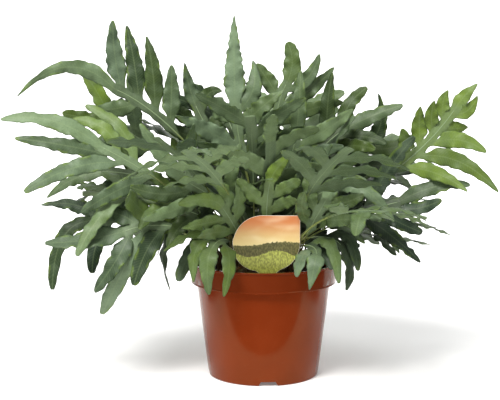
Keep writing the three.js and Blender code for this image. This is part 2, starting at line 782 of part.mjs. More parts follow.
// the lobe's middle line, its frame carried along without turning, twisted a little to the tip
function lobeCurve(lobe, bendIndex) {
  const { base, forward, normal, give } = lobe;
  const [share, bend] = BENDS[bendIndex];
  const tip = base.clone().lerp(lobe.tip, share).addScaledVector(give, bend);
  const length = tip.distanceTo(base);
  const middle = base.clone()
    .addScaledVector(forward, length * 0.5)
    .addScaledVector(normal, length * lobe.lift)
    .addScaledVector(UP, lobe.arch)
    .addScaledVector(give, bend * 0.4);
  return { curve: new THREE.QuadraticBezierCurve3(base, middle, tip), length, tip };
}

const LOBE_FRAMES = 20;

function lobeFrames(lobe, curve) {
  const frames = [];
  let normal = lobe.normal.clone();
  for (let k = 0; k <= LOBE_FRAMES; k += 1) {
    const t = k / LOBE_FRAMES;
    const forward = curve.getTangent(t).normalize();
    normal = normal.addScaledVector(forward, -normal.dot(forward)).normalize();
    frames.push({ place: curve.getPoint(t), forward, normal: normal.clone() });
  }
  return frames;
}

// a point on the lobe: t runs along it, and side runs from -1 to 1 across it
function lobePoint(lobe, frames, t, side) {
  const position = t * LOBE_FRAMES;
  const k = Math.min(Math.floor(position), LOBE_FRAMES - 1);
  const blend = position - k;
  const place = frames[k].place.clone().lerp(frames[k + 1].place, blend);
  const forward = frames[k].forward.clone().lerp(frames[k + 1].forward, blend).normalize();
  const flat = frames[k].normal.clone().lerp(frames[k + 1].normal, blend).normalize();
  const normal = flat.applyAxisAngle(forward, lobe.twist * t * t);
  const across = forward.clone().cross(normal).normalize();
  const waves = lobe.waves * t * 2 * Math.PI + lobe.phase;
  const edge = lobeProfile(t) * (lobe.width / 2);
  const scallop = 1 + SCALLOP * Math.sin(2 * waves + side);
  const rise = RUFFLE * Math.sin(waves + (side > 0 ? 0 : 2.1)) * side * side * Math.min(1, 3 * (1 - t));
  place.addScaledVector(across, side * edge * scallop);
  place.addScaledVector(normal, rise - CUP * Math.abs(side) * edge);
  return { place, normal };
}

function lobeSamples(lobe, frames, length) {
  const samples = [];
  const rows = Math.ceil(length / SAMPLE);
  const columns = Math.ceil(lobe.width / SAMPLE);
  for (let row = 0; row <= rows; row += 1) {
    for (let column = 0; column <= columns; column += 1) {
      const t = row / rows;
      const side = (2 * column) / columns - 1;
      samples.push({ point: lobePoint(lobe, frames, t, side).place, open: t > 0.3 });
    }
  }
  return samples;
}

// the first bend that leaves the lobe clear of everything grown so far
function growLobe(frond, lobe) {
  for (let bendIndex = 0; bendIndex < BENDS.length; bendIndex += 1) {
    const { curve, length, tip } = lobeCurve(lobe, bendIndex);
    const frames = lobeFrames(lobe, curve);
    const samples = lobeSamples(lobe, frames, length);
    const clear = frond.allows(tip)
      && samples.every(({ point, open }) => !isBlocked(point) && !isCrowded(point, frond.name, open));
    if (clear) {
      for (const { point, open } of samples) {
        remember(point, frond.name, open);
      }
      return { lobe, frames, length };
    }
  }
  return null;
}

// the lobe's place on the rib, the way it leaves, and how it lies
function lobeStart(frond, [step, side, x, y, z, width, arch], seed) {
  const middle = side === 0 ? 1 : stationFraction(frond, step + 0.5);
  const frame = ribFrame(frond.rib, middle, frond.face);
  const base = frame.place.clone().addScaledVector(frame.across, side * WING);
  const forward = frame.forward.clone();
  if (side !== 0) {
    forward.multiplyScalar(0.62).addScaledVector(frame.across, side * 0.78).normalize();
  }
  return {
    step,
    side,
    base,
    forward,
    width,
    normal: frame.normal.clone(),
    tip: new THREE.Vector3(x, y, z),
    give: frond.give ?? frame.normal.clone(),
    arch: arch ?? 0,
    lift: 0.06 + spread(seed + 0.3, 0.05),
    twist: spread(seed + 0.7, 0.7),
    waves: 2.4 + draw(seed + 1.1) * 1.2,
    phase: draw(seed + 1.9) * 2 * Math.PI,
  };
}

// ---------------------------------------------------------------------------------------------
// Growing the fronds
// ---------------------------------------------------------------------------------------------
const DEPTH = new THREE.Vector3(0, 1, 0);

// small shifts of the rib's bend that a shown frond may take to pass the stalks before it
const RIB_SHIFTS = [0, 8, -8, 16, -16, 24, -24, 32, -32];

function shownFrond(entry, index) {
  const end = vector(entry.end);
  const seat = takeSeat(end);
  const frond = {
    name: entry.name,
    seat,
    face: vector(entry.face).normalize(),
    from: entry.from,
    steps: entry.steps,
    give: DEPTH,
    seed: 100 + index * 17,
    allows: () => true,
  };
  for (const shift of RIB_SHIFTS) {
    const bend = vector(entry.bend).addScaledVector(DEPTH, shift);
    frond.rib = ribCurve(seat, entry.rise, bend, end);
    if (ribIsClear(frond)) {
      break;
    }
  }
  rememberRib(frond);
  frond.wanted = entry.lobes;
  return frond;
}

// the rest of the crown: tiers from upright to low, turned by the golden angle
const GOLDEN = 137.5;
const TIERS = [
  { share: 0.2, elevation: 72, length: 215, steps: 6, lobe: 90, droop: 0.1 },
  { share: 0.5, elevation: 50, length: 215, steps: 6, lobe: 88, droop: 0.2 },
  { share: 0.76, elevation: 30, length: 190, steps: 5, lobe: 84, droop: 0.3 },
  { share: 1, elevation: 48, length: 125, steps: 4, lobe: 74, droop: 0.22 },
];
const TURNS = [];
for (const share of [1, 0.86, 0.72]) {
  for (const turn of [0, 6, -6, 12, -12, 18, -18, 25, -25, 33, -33, 42, -42]) {
    TURNS.push([turn, share]);
  }
}

// the crown's outer form, and the view of the label kept free
const CROWN = { reach: 262, middle: 170, above: 235, below: 100 };
const LABEL_VIEW = { front: -60, left: -70, right: 85, top: 232 };

function insideCrown(tip) {
  const lift = tip.z - CROWN.middle;
  const height = lift / (lift > 0 ? CROWN.above : CROWN.below);
  const round = (tip.x / CROWN.reach) ** 2 + (tip.y / CROWN.reach) ** 2 + height * height;
  const across = tip.x > LABEL_VIEW.left && tip.x < LABEL_VIEW.right;
  const beforeLabel = tip.y < LABEL_VIEW.front && across && tip.z < LABEL_VIEW.top;
  return round < 1 && !beforeLabel;
}

function crownFrond(index) {
  const seed = 1000 + index * 31;
  const tier = TIERS.find(({ share }) => (index + 0.5) / CROWN_COUNT < share);
  const azimuth = index * GOLDEN + spread(seed, 12);
  const elevation = degrees(tier.elevation + spread(seed + 1, 7));
  const length = tier.length + spread(seed + 2, 16);
  const frond = {
    name: `frond_crown_${String(index + 1).padStart(2, '0')}`,
    from: 0.56 + spread(seed + 3, 0.04),
    steps: tier.steps,
    seed,
    allows: insideCrown,
  };
  const seatEnd = new THREE.Vector3(Math.cos(degrees(azimuth)), Math.sin(degrees(azimuth)), 0);
  seatEnd.multiplyScalar(length * Math.cos(elevation)).setZ(SOIL_TOP + length * Math.sin(elevation));
  frond.seat = takeSeat(seatEnd);
  for (const [turn, share] of TURNS) {
    const angle = degrees(azimuth + turn);
    const outward = new THREE.Vector3(Math.cos(angle), Math.sin(angle), 0);
    const reach = length * share;
    const end = frond.seat.clone()
      .addScaledVector(outward, reach * Math.cos(elevation))
      .addScaledVector(UP, reach * Math.sin(elevation));
    const bend = frond.seat.clone()
      .addScaledVector(outward, reach * (0.62 * Math.cos(elevation) - 0.05))
      .addScaledVector(UP, reach * (0.62 * Math.sin(elevation) + 0.22 * Math.cos(elevation)));
    const rise = 40 + 50 * share * Math.sin(elevation);
    const roll = new THREE.Vector3(-outward.y, outward.x, 0).multiplyScalar(spread(seed + 4, 0.5));
    frond.face = UP.clone().addScaledVector(outward, -0.9).add(roll).normalize();
    frond.rib = ribCurve(frond.seat, rise, bend, end);
    if (ribIsClear(frond)) {
      rememberRib(frond);
      frond.wanted = crownLobes(frond, seed, tier);
      return frond;
    }
  }
  return null;
}

function crownLobes(frond, seed, tier) {
  const lobes = [];
  const first = draw(seed + 5) < 0.5 ? 1 : -1;
  for (let step = frond.steps; step >= 0; step -= 1) {
    const last = step === frond.steps;
    const side = last ? 0 : first * (step % 2 === 0 ? 1 : -1);
    const start = lobeStart(frond, [step, side, 0, 0, 0, LOBE_WIDTH], seed + step);
    const share = last ? 1.1 : mix(0.84, 1.04, step / frond.steps);
    const length = tier.lobe * share + spread(seed + 40 + step, 10);
    const tip = start.base.clone()
      .addScaledVector(start.forward, length)
      .addScaledVector(UP, -length * (tier.droop + spread(seed + 50 + step, 0.12)));
    const width = LOBE_WIDTH + spread(seed + 60 + step, 2);
    lobes.push([step, side, tip.x, tip.y, tip.z, width]);
  }
  return lobes;
}

// the finished frond: stalk, rib strip, then each grown lobe on its own edge of the rib
function frondGeometry(frond) {
  const sheet = new Sheet();
  const stations = [];
  const addStation = (frame, halfWidth, half) => {
    const { place, across, normal } = frame;
    const left = sheet.point(place.clone().addScaledVector(across, -halfWidth), normal, half);
    const right = sheet.point(place.clone().addScaledVector(across, halfWidth), normal, half);
    const previous = stations[stations.length - 1];
    stations.push({ left, right });
    if (previous) {
      sheet.quad(previous.left, previous.right, right, left);
    }
  };
  const sections = stalkSections(frond);
  const foot = { ...sections[0].frame, place: sections[0].frame.place.clone() };
  foot.place.z -= SEAT_DEPTH - FIT;
  addStation(foot, STALK.base, STALK.base);
  for (const { frame, half } of sections) {
    addStation(frame, half, half);
  }
  const firstBlade = stations.length;
  for (let step = 0; step <= frond.steps; step += 1) {
    const widening = step === 0 ? 0.5 : 1;
    addStation(ribFrame(frond.rib, stationFraction(frond, step), frond.face), WING * widening, BLADE_HALF);
  }
  for (const { lobe, frames, length } of frond.grown) {
    addLobe(sheet, stations, firstBlade, frond.steps, lobe, frames, length);
  }
  return sheet.geometry();
}

function addLobe(sheet, stations, firstBlade, steps, lobe, frames, length) {
  const near = stations[firstBlade + (lobe.side === 0 ? steps : lobe.step)];
  const far = stations[firstBlade + (lobe.side === 0 ? steps : lobe.step + 1)];
  let start = near.right;
  let finish = far.right;
  if (lobe.side < 0) {
    start = far.left;
    finish = near.left;
  } else if (lobe.side === 0) {
    finish = near.left;
  }
  const count = length > 105 ? 5 : length > 55 ? 4 : 3;
  for (let k = 1; k <= count; k += 1) {
    const t = 0.14 + 0.78 * ((k - 0.35) / (count - 0.35));
    const right = lobePoint(lobe, frames, t, 1);
    const left = lobePoint(lobe, frames, t, -1);
    const a = sheet.point(right.place, right.normal, BLADE_HALF);
    const b = sheet.point(left.place, left.normal, BLADE_HALF);
    sheet.quad(start, a, b, finish);
    start = a;
    finish = b;
  }
  const end = lobePoint(lobe, frames, 1, 0);
  sheet.triangle(start, sheet.point(end.place, end.normal, BLADE_HALF), finish);
}

// ---------------------------------------------------------------------------------------------
// Assembly
// ---------------------------------------------------------------------------------------------
for (const [x, z] of labelGrid()) {
  remember(new THREE.Vector3(x, LABEL.y, z), 'label', true);
}

function labelGrid() {
  const points = [];
  for (let z = SOIL_TOP; z <= LABEL.top; z += SAMPLE) {
    const share = Math.min(1, Math.max(0, (z - SOIL_TOP) / (LABEL.side - SOIL_TOP)));
    for (let x = mix(0, LABEL.left, share); x <= mix(10, LABEL.right, share); x += SAMPLE) {
      points.push([x, z]);
    }
  }
  return points;
}

const fronds = SHOWN_FRONDS.map(shownFrond);
for (let index = 0; index < CROWN_COUNT; index += 1) {
  const frond = crownFrond(index);
  if (frond) {
    fronds.push(frond);
  }
}
for (const frond of fronds) {
  frond.grown = [];
  frond.wanted.forEach((entry, k) => {
    const grown = growLobe(frond, lobeStart(frond, entry, frond.seed + entry[0] + k));
    if (grown) {
      frond.grown.push(grown);
    }
  });
}

// the square hole in the rhizome that a stalk stands in, turned as the stalk is
function seatHole(frond) {
  const { place, across, normal } = ribFrame(frond.rib, 0, frond.face);
  const reach = STALK.base + FIT;
  const ring = (z) => [[-1, -1], [1, -1], [1, 1], [-1, 1]].map(([a, b]) => place.clone()
    .addScaledVector(across, a * reach)
    .addScaledVector(normal, b * reach)
    .addScaledVector(UP, z));
  return solidOf(loft([ring(-SEAT_DEPTH).reverse(), ring(6).reverse()]));
}

let rhizome = rhizomeBody(0);
let soil = soilSolid().subtract(rhizomeBody(FIT)).subtract(labelSolid(FIT));
for (const frond of fronds) {
  rhizome = rhizome.subtract(seatHole(frond));
  soil = soil.subtract(seatHole(frond));
}

const paint = (color, roughness) => new THREE.MeshStandardMaterial({ color, roughness, metalness: 0 });
const terracottaPlastic = paint('#8a3a1c', 0.3);
const peat = paint('#2a1d14', 0.95);
const rhizomeBark = paint('#7a5a34', 0.9);
const printedCard = paint('#d9962a', 0.4);
const leafGreens = ['#5f7d5c', '#6d8a68', '#4b6650', '#7f9a62'];

const plant = new THREE.Group();

function addPiece(name, geometry, material) {
  const mesh = new THREE.Mesh(geometry, material);
  mesh.name = name;
  plant.add(mesh);
}

addPiece('pot', geometryOfSolid(potSolid()), terracottaPlastic);
addPiece('soil', geometryOfSolid(soil), peat);
addPiece('rhizome', geometryOfSolid(rhizome), rhizomeBark);
addPiece('label', geometryOfSolid(labelSolid(0)), printedCard);
fronds.forEach((frond, index) => {
  addPiece(frond.name, frondGeometry(frond), paint(leafGreens[index % leafGreens.length], 0.6));
});

export default plant;
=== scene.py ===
"""A potted polypody fern: glossy moulded pot, peat, scaly creeping rhizome, stick-in label and fronds.

Lengths in the code are millimetres until a mesh is made, and Blender's own are metres.
"""

import math
from functools import partial

import bmesh
import bpy
import numpy as np
from bpy.props import FloatProperty, FloatVectorProperty, IntProperty, PointerProperty
from mathutils import Matrix, Vector
from mathutils.bvhtree import BVHTree
from mathutils.kdtree import KDTree


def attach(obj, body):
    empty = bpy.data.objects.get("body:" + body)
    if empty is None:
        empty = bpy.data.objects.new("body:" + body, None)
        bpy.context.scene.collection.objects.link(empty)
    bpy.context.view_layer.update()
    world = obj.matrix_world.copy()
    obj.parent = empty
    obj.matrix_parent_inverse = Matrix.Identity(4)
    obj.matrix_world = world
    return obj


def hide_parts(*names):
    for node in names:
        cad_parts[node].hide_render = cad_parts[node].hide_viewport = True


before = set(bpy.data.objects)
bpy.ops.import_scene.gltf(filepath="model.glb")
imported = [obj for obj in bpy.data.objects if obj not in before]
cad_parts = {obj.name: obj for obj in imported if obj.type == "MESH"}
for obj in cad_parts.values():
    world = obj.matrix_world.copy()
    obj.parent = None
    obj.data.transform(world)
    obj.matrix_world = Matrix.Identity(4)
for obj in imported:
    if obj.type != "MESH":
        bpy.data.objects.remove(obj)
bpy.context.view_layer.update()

bl_info = {
    "name": "Potted Polypody Fern",
    "version": (1, 0, 0),
    "blender": (4, 5, 0),
    "location": "3D View > Sidebar > Fern",
    "description": "Builds a polypody fern in a nursery pot with its soil, rhizome and label",
    "category": "Object",
}

MM = 0.001
UP = np.array([0.0, 0.0, 1.0])


# ---------------------------------------------------------------------------------------------
# Colours, settings
# ---------------------------------------------------------------------------------------------
def linear(hex_colour):
    """An sRGB hex value as the linear red, green, blue and alpha that the shaders take."""
    channels = [int(hex_colour[k:k + 2], 16) / 255 for k in (1, 3, 5)]
    return (*(c / 12.92 if c <= 0.04045 else ((c + 0.055) / 1.055) ** 2.4 for c in channels), 1.0)


def colour_setting(name, description, hex_colour):
    return FloatVectorProperty(name=name, description=description, subtype="COLOR", size=4,
                               min=0.0, max=1.0, default=linear(hex_colour))


def length_setting(name, description, millimetres):
    return FloatProperty(name=name, description=description, unit="LENGTH", subtype="DISTANCE",
                         min=0.0, precision=5, default=millimetres * MM)


def light_setting(name, description, value, unit="NONE"):
    return FloatProperty(name=name, description=description, unit=unit, default=value, min=0.0)


class PotSettings(bpy.types.PropertyGroup):
    """Sizes and colour of the pot"""
    segments: IntProperty(name="Segments", description="Faces round the pot", default=160, min=24, max=400)
    edge_round: length_setting("Edge rounding", "Radius of the moulded edges", 0.7)
    colour: colour_setting("Colour", "The pot's plastic", "#782c0e")


class SoilSettings(bpy.types.PropertyGroup):
    """Sizes and colours of the peat and the rhizome"""
    crumbs: IntProperty(name="Crumbs", description="Loose crumbs lying on the peat", default=620, min=0)
    crumb_size: length_setting("Crumb size", "Width of a middling crumb", 3.4)
    dark: colour_setting("Moist peat", "Peat in its hollows", "#120d0a")
    light: colour_setting("Dry peat", "Peat on its crumbs", "#3b2a1f")
    scale_colour: colour_setting("Scales", "The papery scales on the rhizome", "#9c7038")
    bark_colour: colour_setting("Rhizome", "The rhizome under its scales", "#5d452a")


class LabelSettings(bpy.types.PropertyGroup):
    """Colours of the stick-in label"""
    top: colour_setting("Top", "Upper end of the printed fade", "#bd6c35")
    middle: colour_setting("Middle", "Lower end of the printed fade", "#dcc685")
    far_hill: colour_setting("Far hill", "The darker printed band", "#6f6b3c")
    near_hill: colour_setting("Near hill", "The paler printed band", "#b9be59")
    card: colour_setting("Card", "The unprinted back and edge", "#ece7da")


class FrondSettings(bpy.types.PropertyGroup):
    """Sizes and colours of the fronds"""
    young_fronds: IntProperty(name="Young fronds", description="Small fronds tried between the others",
                              default=240, min=0)
    thickness: length_setting("Blade thickness", "Blade at a midrib; a margin has half of it", 0.9)
    dark: colour_setting("Shaded green", "Blue-green of the darkest fronds", "#1e301f")
    light: colour_setting("Bloomed green", "Grey-green of the palest fronds", "#6e8264")
    # painted shade: the deep green that blades deep inside the crown are darkened to, standing in for the
    # shade among the fronds
    heart: colour_setting("Painted shade green", "Deep green painted as shade deep inside the crown", "#12200c")
    rib: colour_setting("Rib", "Pale green of the ribs and what lies beside them", "#86996a")
    yellow: colour_setting("Young green", "Yellow-green of young fronds and some margins", "#667d28")
    margin: colour_setting("Margin", "Thin dark line round a lobe", "#2a3f20")
    stalk: colour_setting("Stalk", "Straw green of the stalks", "#7c8748")
    stalk_foot: colour_setting("Stalk foot", "Brown of a stalk where it leaves the rhizome", "#5a4226")


class StageSettings(bpy.types.PropertyGroup):
    """The floor and the lights"""
    floor_colour: colour_setting("Floor", "The pale seamless floor", "#f7f7f6")
    key_power: light_setting("Key light", "Power of the light from the upper left", 122.0, "POWER")
    fill_power: light_setting("Fill light", "Power of the light from above, twice that from the right", 15.0,
                              "POWER")
    floor_glow: light_setting("Lit table", "Strength of the light through the floor", 0.16)
    surround: light_setting("Surround", "Strength of the white studio round the plant", 0.3)
    backdrop_power: light_setting("Backdrop light", "Power of the light on the backdrop", 420.0, "POWER")


# ---------------------------------------------------------------------------------------------
# Small tools
# ---------------------------------------------------------------------------------------------
def draw(seed):
    """A repeatable draw between 0 and 1 for each seed."""
    value = math.sin(seed * 12.9898 + 4.1414) * 43758.5453
    return value - math.floor(value)


def spread(seed, amount):
    return (draw(seed) * 2 - 1) * amount


def mix(a, b, t):
    return a + (b - a) * t


def mixed(first, second, share):
    """Two colours mixed."""
    return tuple(mix(a, b, share) for a, b in zip(first, second))


def unit(vector):
    return vector / np.linalg.norm(vector)


def smooth_step(low, high, value):
    t = np.clip((value - low) / (high - low), 0, 1)
    return t * t * (3 - 2 * t)


def deselect_all():
    if bpy.context.mode != "OBJECT":
        bpy.ops.object.mode_set(mode="OBJECT")
    bpy.ops.object.select_all(action="DESELECT")


def pick(*objects):
    """Selects these objects alone; the first is the active one."""
    deselect_all()
    for item in objects:
        item.select_set(True)
    bpy.context.view_layer.objects.active = objects[0]


def object_of(name, points, faces):
    """A mesh object from points in millimetres."""
    mesh = bpy.data.meshes.new(name)
    mesh.from_pydata([tuple(p) for p in np.asarray(points, float) * MM], [], faces)
    mesh.update()
    made = bpy.data.objects.new(name, mesh)
    bpy.context.scene.collection.objects.link(made)
    return made


def write_attribute(item, name, values):
    layer = item.data.attributes.new(name, "FLOAT", "POINT")
    layer.data.foreach_set("value", np.asarray(values, np.float32))


def face_outwards(item):
    """Turns every normal of the mesh outwards."""
    pick(item)
    bpy.ops.object.mode_set(mode="EDIT")
    bpy.ops.mesh.select_all(action="SELECT")
    bpy.ops.mesh.normals_make_consistent(inside=False)
    bpy.ops.object.mode_set(mode="OBJECT")


def tube_faces(rings, sides):
    """Faces of a tube whose points lie ring after ring, with both its ends closed."""
    last = (rings - 1) * sides
    faces = []
    for a in range(last):
        b = a + 1 if (a + 1) % sides else a + 1 - sides
        faces.append((a, b, b + sides, a + sides))
    return [*faces, tuple(reversed(range(sides))), tuple(range(last, last + sides))]


def apply_modifier(item, kind, **settings):
    """Adds a modifier, gives it its settings and applies it."""
    modifier = item.modifiers.new(kind.title(), kind)
    for name, value in settings.items():
        setattr(modifier, name, value)
    pick(item)
    bpy.ops.object.modifier_apply(modifier=modifier.name)


def settle(item):
    """Puts the object at the origin, unturned and unscaled, with its place in its mesh."""
    pick(item)
    bpy.ops.object.transform_apply(location=True, rotation=True, scale=True)


def smooth_by_angle(item, degrees):
    pick(item)
    bpy.ops.object.shade_smooth_by_angle(angle=math.radians(degrees))


def dress(item, *materials):
    item.data.materials.clear()
    for material in materials:
        item.data.materials.append(material)


def stand_for(item, slot, *nodes):
    """The piece rides on the one body and hides the nodes that it stands for; the slot is not used."""
    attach(item, "root")
    if nodes:
        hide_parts(*nodes)


# ---------------------------------------------------------------------------------------------
# Materials
# ---------------------------------------------------------------------------------------------
SMOOTH = {"interpolation_type": "SMOOTHSTEP"}  # a map range's inputs: value, from, to, then the two results
COLOURS = {"data_type": "RGBA"}  # a colour mix has its factor at 0, its colours at 6 and 7, its result at 2


def fill_sockets(tree, node, sockets):
    for name, value in sockets.items():
        if isinstance(value, bpy.types.NodeSocket):
            tree.links.new(value, node.inputs[name])
        else:
            node.inputs[name].default_value = value


def add_node(tree, kind, sockets, output=0, **settings):
    """Adds one node; each socket takes a value or another node's output, and one output comes back."""
    made = tree.nodes.new("ShaderNode" + kind)
    for name, value in settings.items():
        setattr(made, name, value)
    fill_sockets(tree, made, sockets)
    return made.outputs[output]


def start_material(name):
    """A new material, what adds a node to it and the object's own coordinates."""
    material = bpy.data.materials.new(name)
    material.use_nodes = True
    node = partial(add_node, material.node_tree)
    return material, node, node("TexCoord", {}, "Object")


def end_material(material, sockets):
    """Gives the shader its sockets: values that are the same all over, and nodes' outputs."""
    fill_sockets(material.node_tree, material.node_tree.nodes["Principled BSDF"], sockets)
    return material


def shaded(colour, factor):
    """The colour made darker or lighter by a factor."""
    return (*(min(1.0, channel * factor) for channel in tuple(colour)[:3]), 1.0)


def moulded_polypropylene(look):
    """Injection-moulded polypropylene: deep even colour under a clear wet-looking gloss.

    The faint mottling is dust and handling, the slow waves are the shrinkage of the moulding, and the band's
    darker colour is painted shade.
    """
    material, node, place = start_material("moulded_polypropylene")
    handling = node("TexNoise", {"Vector": place, "Scale": 1 / 0.038, "Detail": 4.0})
    mottled = node("MapRange", {0: handling, 1: 0.35, 2: 0.7}, **SMOOTH)
    colour = node("Mix", {0: mottled, 6: shaded(look.colour, 0.9), 7: look.colour}, 2, **COLOURS)
    dust = node("TexNoise", {"Vector": place, "Scale": 1 / 0.0016, "Detail": 2.0})
    specks = node("MapRange", {0: dust, 1: 0.64, 2: 0.8, 4: 0.05}, **SMOOTH)
    colour = node("Mix", {0: specks, 6: colour, 7: linear("#c9a58a")}, 2, **COLOURS)
    # painted shade: the band above its foot is darkened towards a deep brown, standing in for the shade that
    # the fronds over the rim cast on it
    z = node("SeparateXYZ", {0: place}, 2)
    painted_band_shade = node("MapRange", {0: z, 1: (BAND_BOTTOM - 1) * MM, 2: (BAND_BOTTOM + 2) * MM, 4: 0.3}, **SMOOTH)
    colour = node("Mix", {0: painted_band_shade, 6: colour, 7: linear("#2a0f06")}, 2, **COLOURS)
    polish = node("MapRange", {0: handling, 1: 0.3, 2: 0.75, 3: 0.12, 4: 0.2}, **SMOOTH)
    drawn_down = node("Mapping", {"Vector": place, "Scale": (1.0, 1.0, 0.35)})
    waves = node("TexNoise", {"Vector": drawn_down, "Scale": 1 / 0.03, "Detail": 1.0})
    normal = node("Bump", {"Height": waves, "Strength": 0.5, "Distance": 0.00035})
    skin = node("TexNoise", {"Vector": place, "Scale": 1 / 0.0009, "Detail": 1.0})
    normal = node("Bump", {"Height": skin, "Distance": 0.000008, "Normal": normal})
    return end_material(material, {"Base Color": colour, "Roughness": polish, "Normal": normal, "IOR": 1.49,
                                   "Specular IOR Level": 0.27, "Specular Tint": (0.6, 0.82, 0.46, 1.0)})


def moist_peat(look):
    """Sphagnum peat: almost black when moist, with dry brown crumbs and fibres, fully matt."""
    material, node, place = start_material("moist_peat")
    clods = node("TexNoise", {"Vector": place, "Scale": 1 / 0.007, "Detail": 6.0, "Roughness": 0.65})
    grains = node("TexNoise", {"Vector": place, "Scale": 1 / 0.0014, "Detail": 3.0, "Roughness": 0.7})
    dry = node("MapRange", {0: clods, 1: 0.4, 2: 0.68}, **SMOOTH)
    colour = node("Mix", {0: dry, 6: look.dark, 7: look.light}, 2, **COLOURS)
    fibres = node("MapRange", {0: grains, 1: 0.6, 2: 0.75, 4: 0.5}, **SMOOTH)
    colour = node("Mix", {0: fibres, 6: colour, 7: linear("#5b4430")}, 2, **COLOURS)
    normal = node("Bump", {"Height": clods, "Distance": 0.0025})
    normal = node("Bump", {"Height": grains, "Distance": 0.0007, "Normal": normal})
    return end_material(material, {"Base Color": colour, "Roughness": 0.93, "Normal": normal})


def rhizome_skin(look):
    """A creeping rhizome's skin: green-brown, waxy between its scales."""
    material, node, place = start_material("rhizome_skin")
    patches = node("TexNoise", {"Vector": place, "Scale": 1 / 0.005, "Detail": 4.0})
    green = node("MapRange", {0: patches, 1: 0.35, 2: 0.7}, **SMOOTH)
    colour = node("Mix", {0: green, 6: look.bark_colour, 7: linear("#6f6a3c")}, 2, **COLOURS)
    pores = node("TexNoise", {"Vector": place, "Scale": 1 / 0.0012, "Detail": 3.0})
    normal = node("Bump", {"Height": pores, "Distance": 0.0003})
    return end_material(material, {"Base Color": colour, "Roughness": 0.6, "Normal": normal})


def papery_scale(look):
    """The rhizome's chaffy scales: thin and golden brown, darker towards their feet."""
    material, node, place = start_material("papery_scale")
    fibres = node("TexNoise", {"Vector": place, "Scale": 1 / 0.0011, "Detail": 3.0})
    pale = node("MapRange", {0: fibres, 1: 0.3, 2: 0.7}, **SMOOTH)
    colour = node("Mix", {0: pale, 6: linear("#6b4520"), 7: look.scale_colour}, 2, **COLOURS)
    normal = node("Bump", {"Height": fibres, "Distance": 0.0001})
    return end_material(material, {"Base Color": colour, "Roughness": 0.62, "Normal": normal})


def printed_card(look):
    """Offset print on plastic card: a warm fade over two bands of hill, satin, with a dot screen.

    The screen is drawn at 0.5 mm, about four times coarser than a real one, so that it shows.
    """
    material, node, place = start_material("printed_card")
    x = node("SeparateXYZ", {0: place}, 0)
    z = node("SeparateXYZ", {0: place}, 2)
    height = node("MapRange", {0: z, 1: 0.176, 2: 0.214}, **SMOOTH)
    colour = node("Mix", {0: height, 6: look.middle, 7: look.top}, 2, **COLOURS)
    drift = node("Mapping", {"Vector": place, "Scale": (0.6, 1.0, 1.4)})
    glow = node("TexNoise", {"Vector": drift, "Scale": 1 / 0.034, "Detail": 2.0})
    haze = node("MapRange", {0: glow, 1: 0.45, 2: 0.75, 4: 0.55}, **SMOOTH)
    colour = node("Mix", {0: haze, 6: colour, 7: linear("#f5ecc4")}, 2, **COLOURS)
    edge = node("TexNoise", {"Vector": place, "Scale": 1 / 0.0026, "Detail": 3.0})
    upright = node("Mapping", {"Vector": place, "Scale": (1.0, 1.0, 0.5)})
    grass = node("TexNoise", {"Vector": upright, "Scale": 1 / 0.0017, "Detail": 4.0})
    lit = node("MapRange", {0: grass, 1: 0.4, 2: 0.65}, **SMOOTH)
    hills = ((0.1785, 0.0026, 62.0, look.far_hill), (0.166, 0.0042, 95.0, look.near_hill))
    for crest, swing, turns, tone in hills:
        phase = node("Math", {0: x, 1: turns}, operation="MULTIPLY")
        wave = node("Math", {0: phase}, operation="SINE")
        hill = node("Math", {0: wave, 1: swing, 2: crest}, operation="MULTIPLY_ADD")
        ragged = node("Math", {0: edge, 1: 0.005, 2: hill}, operation="MULTIPLY_ADD")
        depth = node("Math", {0: ragged, 1: z}, operation="SUBTRACT")
        below = node("MapRange", {0: depth, 1: -0.0004, 2: 0.0006}, **SMOOTH)
        band = node("Mix", {0: lit, 6: shaded(tone, 0.5), 7: tone}, 2, **COLOURS)
        colour = node("Mix", {0: below, 6: colour, 7: band}, 2, **COLOURS)
    screen = node("TexVoronoi", {"Vector": place, "Scale": 1 / 0.0005}, "Distance")
    dots = node("MapRange", {0: screen, 1: 0.2, 2: 0.5, 3: 0.07, 4: 0.0}, **SMOOTH)
    colour = node("Mix", {0: dots, 6: colour, 7: linear("#59534a")}, 2, **COLOURS)
    rim = node("Attribute", {}, "Fac", attribute_name="rim")
    bare = node("MapRange", {0: rim, 1: 0.15, 2: 0.4, 3: 1.0, 4: 0.0}, **SMOOTH)
    colour = node("Mix", {0: bare, 6: colour, 7: look.card}, 2, **COLOURS)
    satin = node("MapRange", {0: glow, 1: 0.3, 2: 0.7, 3: 0.3, 4: 0.38}, **SMOOTH)
    return end_material(material, {"Base Color": colour, "Roughness": satin, "IOR": 1.5, "Coat Weight": 0.15,
                                   "Coat Roughness": 0.2})


def plain_card(look):
    """The card's bare back: white plastic gone slightly warm, with scuffs and soil near its foot."""
    material, node, place = start_material("plain_card")
    drawn_up = node("Mapping", {"Vector": place, "Scale": (1.0, 1.0, 0.3)})
    scuffs = node("TexNoise", {"Vector": drawn_up, "Scale": 1 / 0.009, "Detail": 4.0})
    worn = node("MapRange", {0: scuffs, 1: 0.5, 2: 0.75, 4: 0.2}, **SMOOTH)
    colour = node("Mix", {0: worn, 6: look.card, 7: linear("#cfc4ae")}, 2, **COLOURS)
    z = node("SeparateXYZ", {0: place}, 2)
    near_soil = node("MapRange", {0: z, 1: 0.15, 2: 0.138}, **SMOOTH)
    soiled = node("Math", {0: near_soil, 1: scuffs}, operation="MULTIPLY")
    colour = node("Mix", {0: soiled, 6: colour, 7: linear("#4a382a")}, 2, **COLOURS)
    tooth = node("TexNoise", {"Vector": place, "Scale": 1 / 0.0008, "Detail": 1.0})
    normal = node("Bump", {"Height": tooth, "Distance": 0.00001})
    return end_material(material, {"Base Color": colour, "Roughness": 0.45, "Normal": normal})


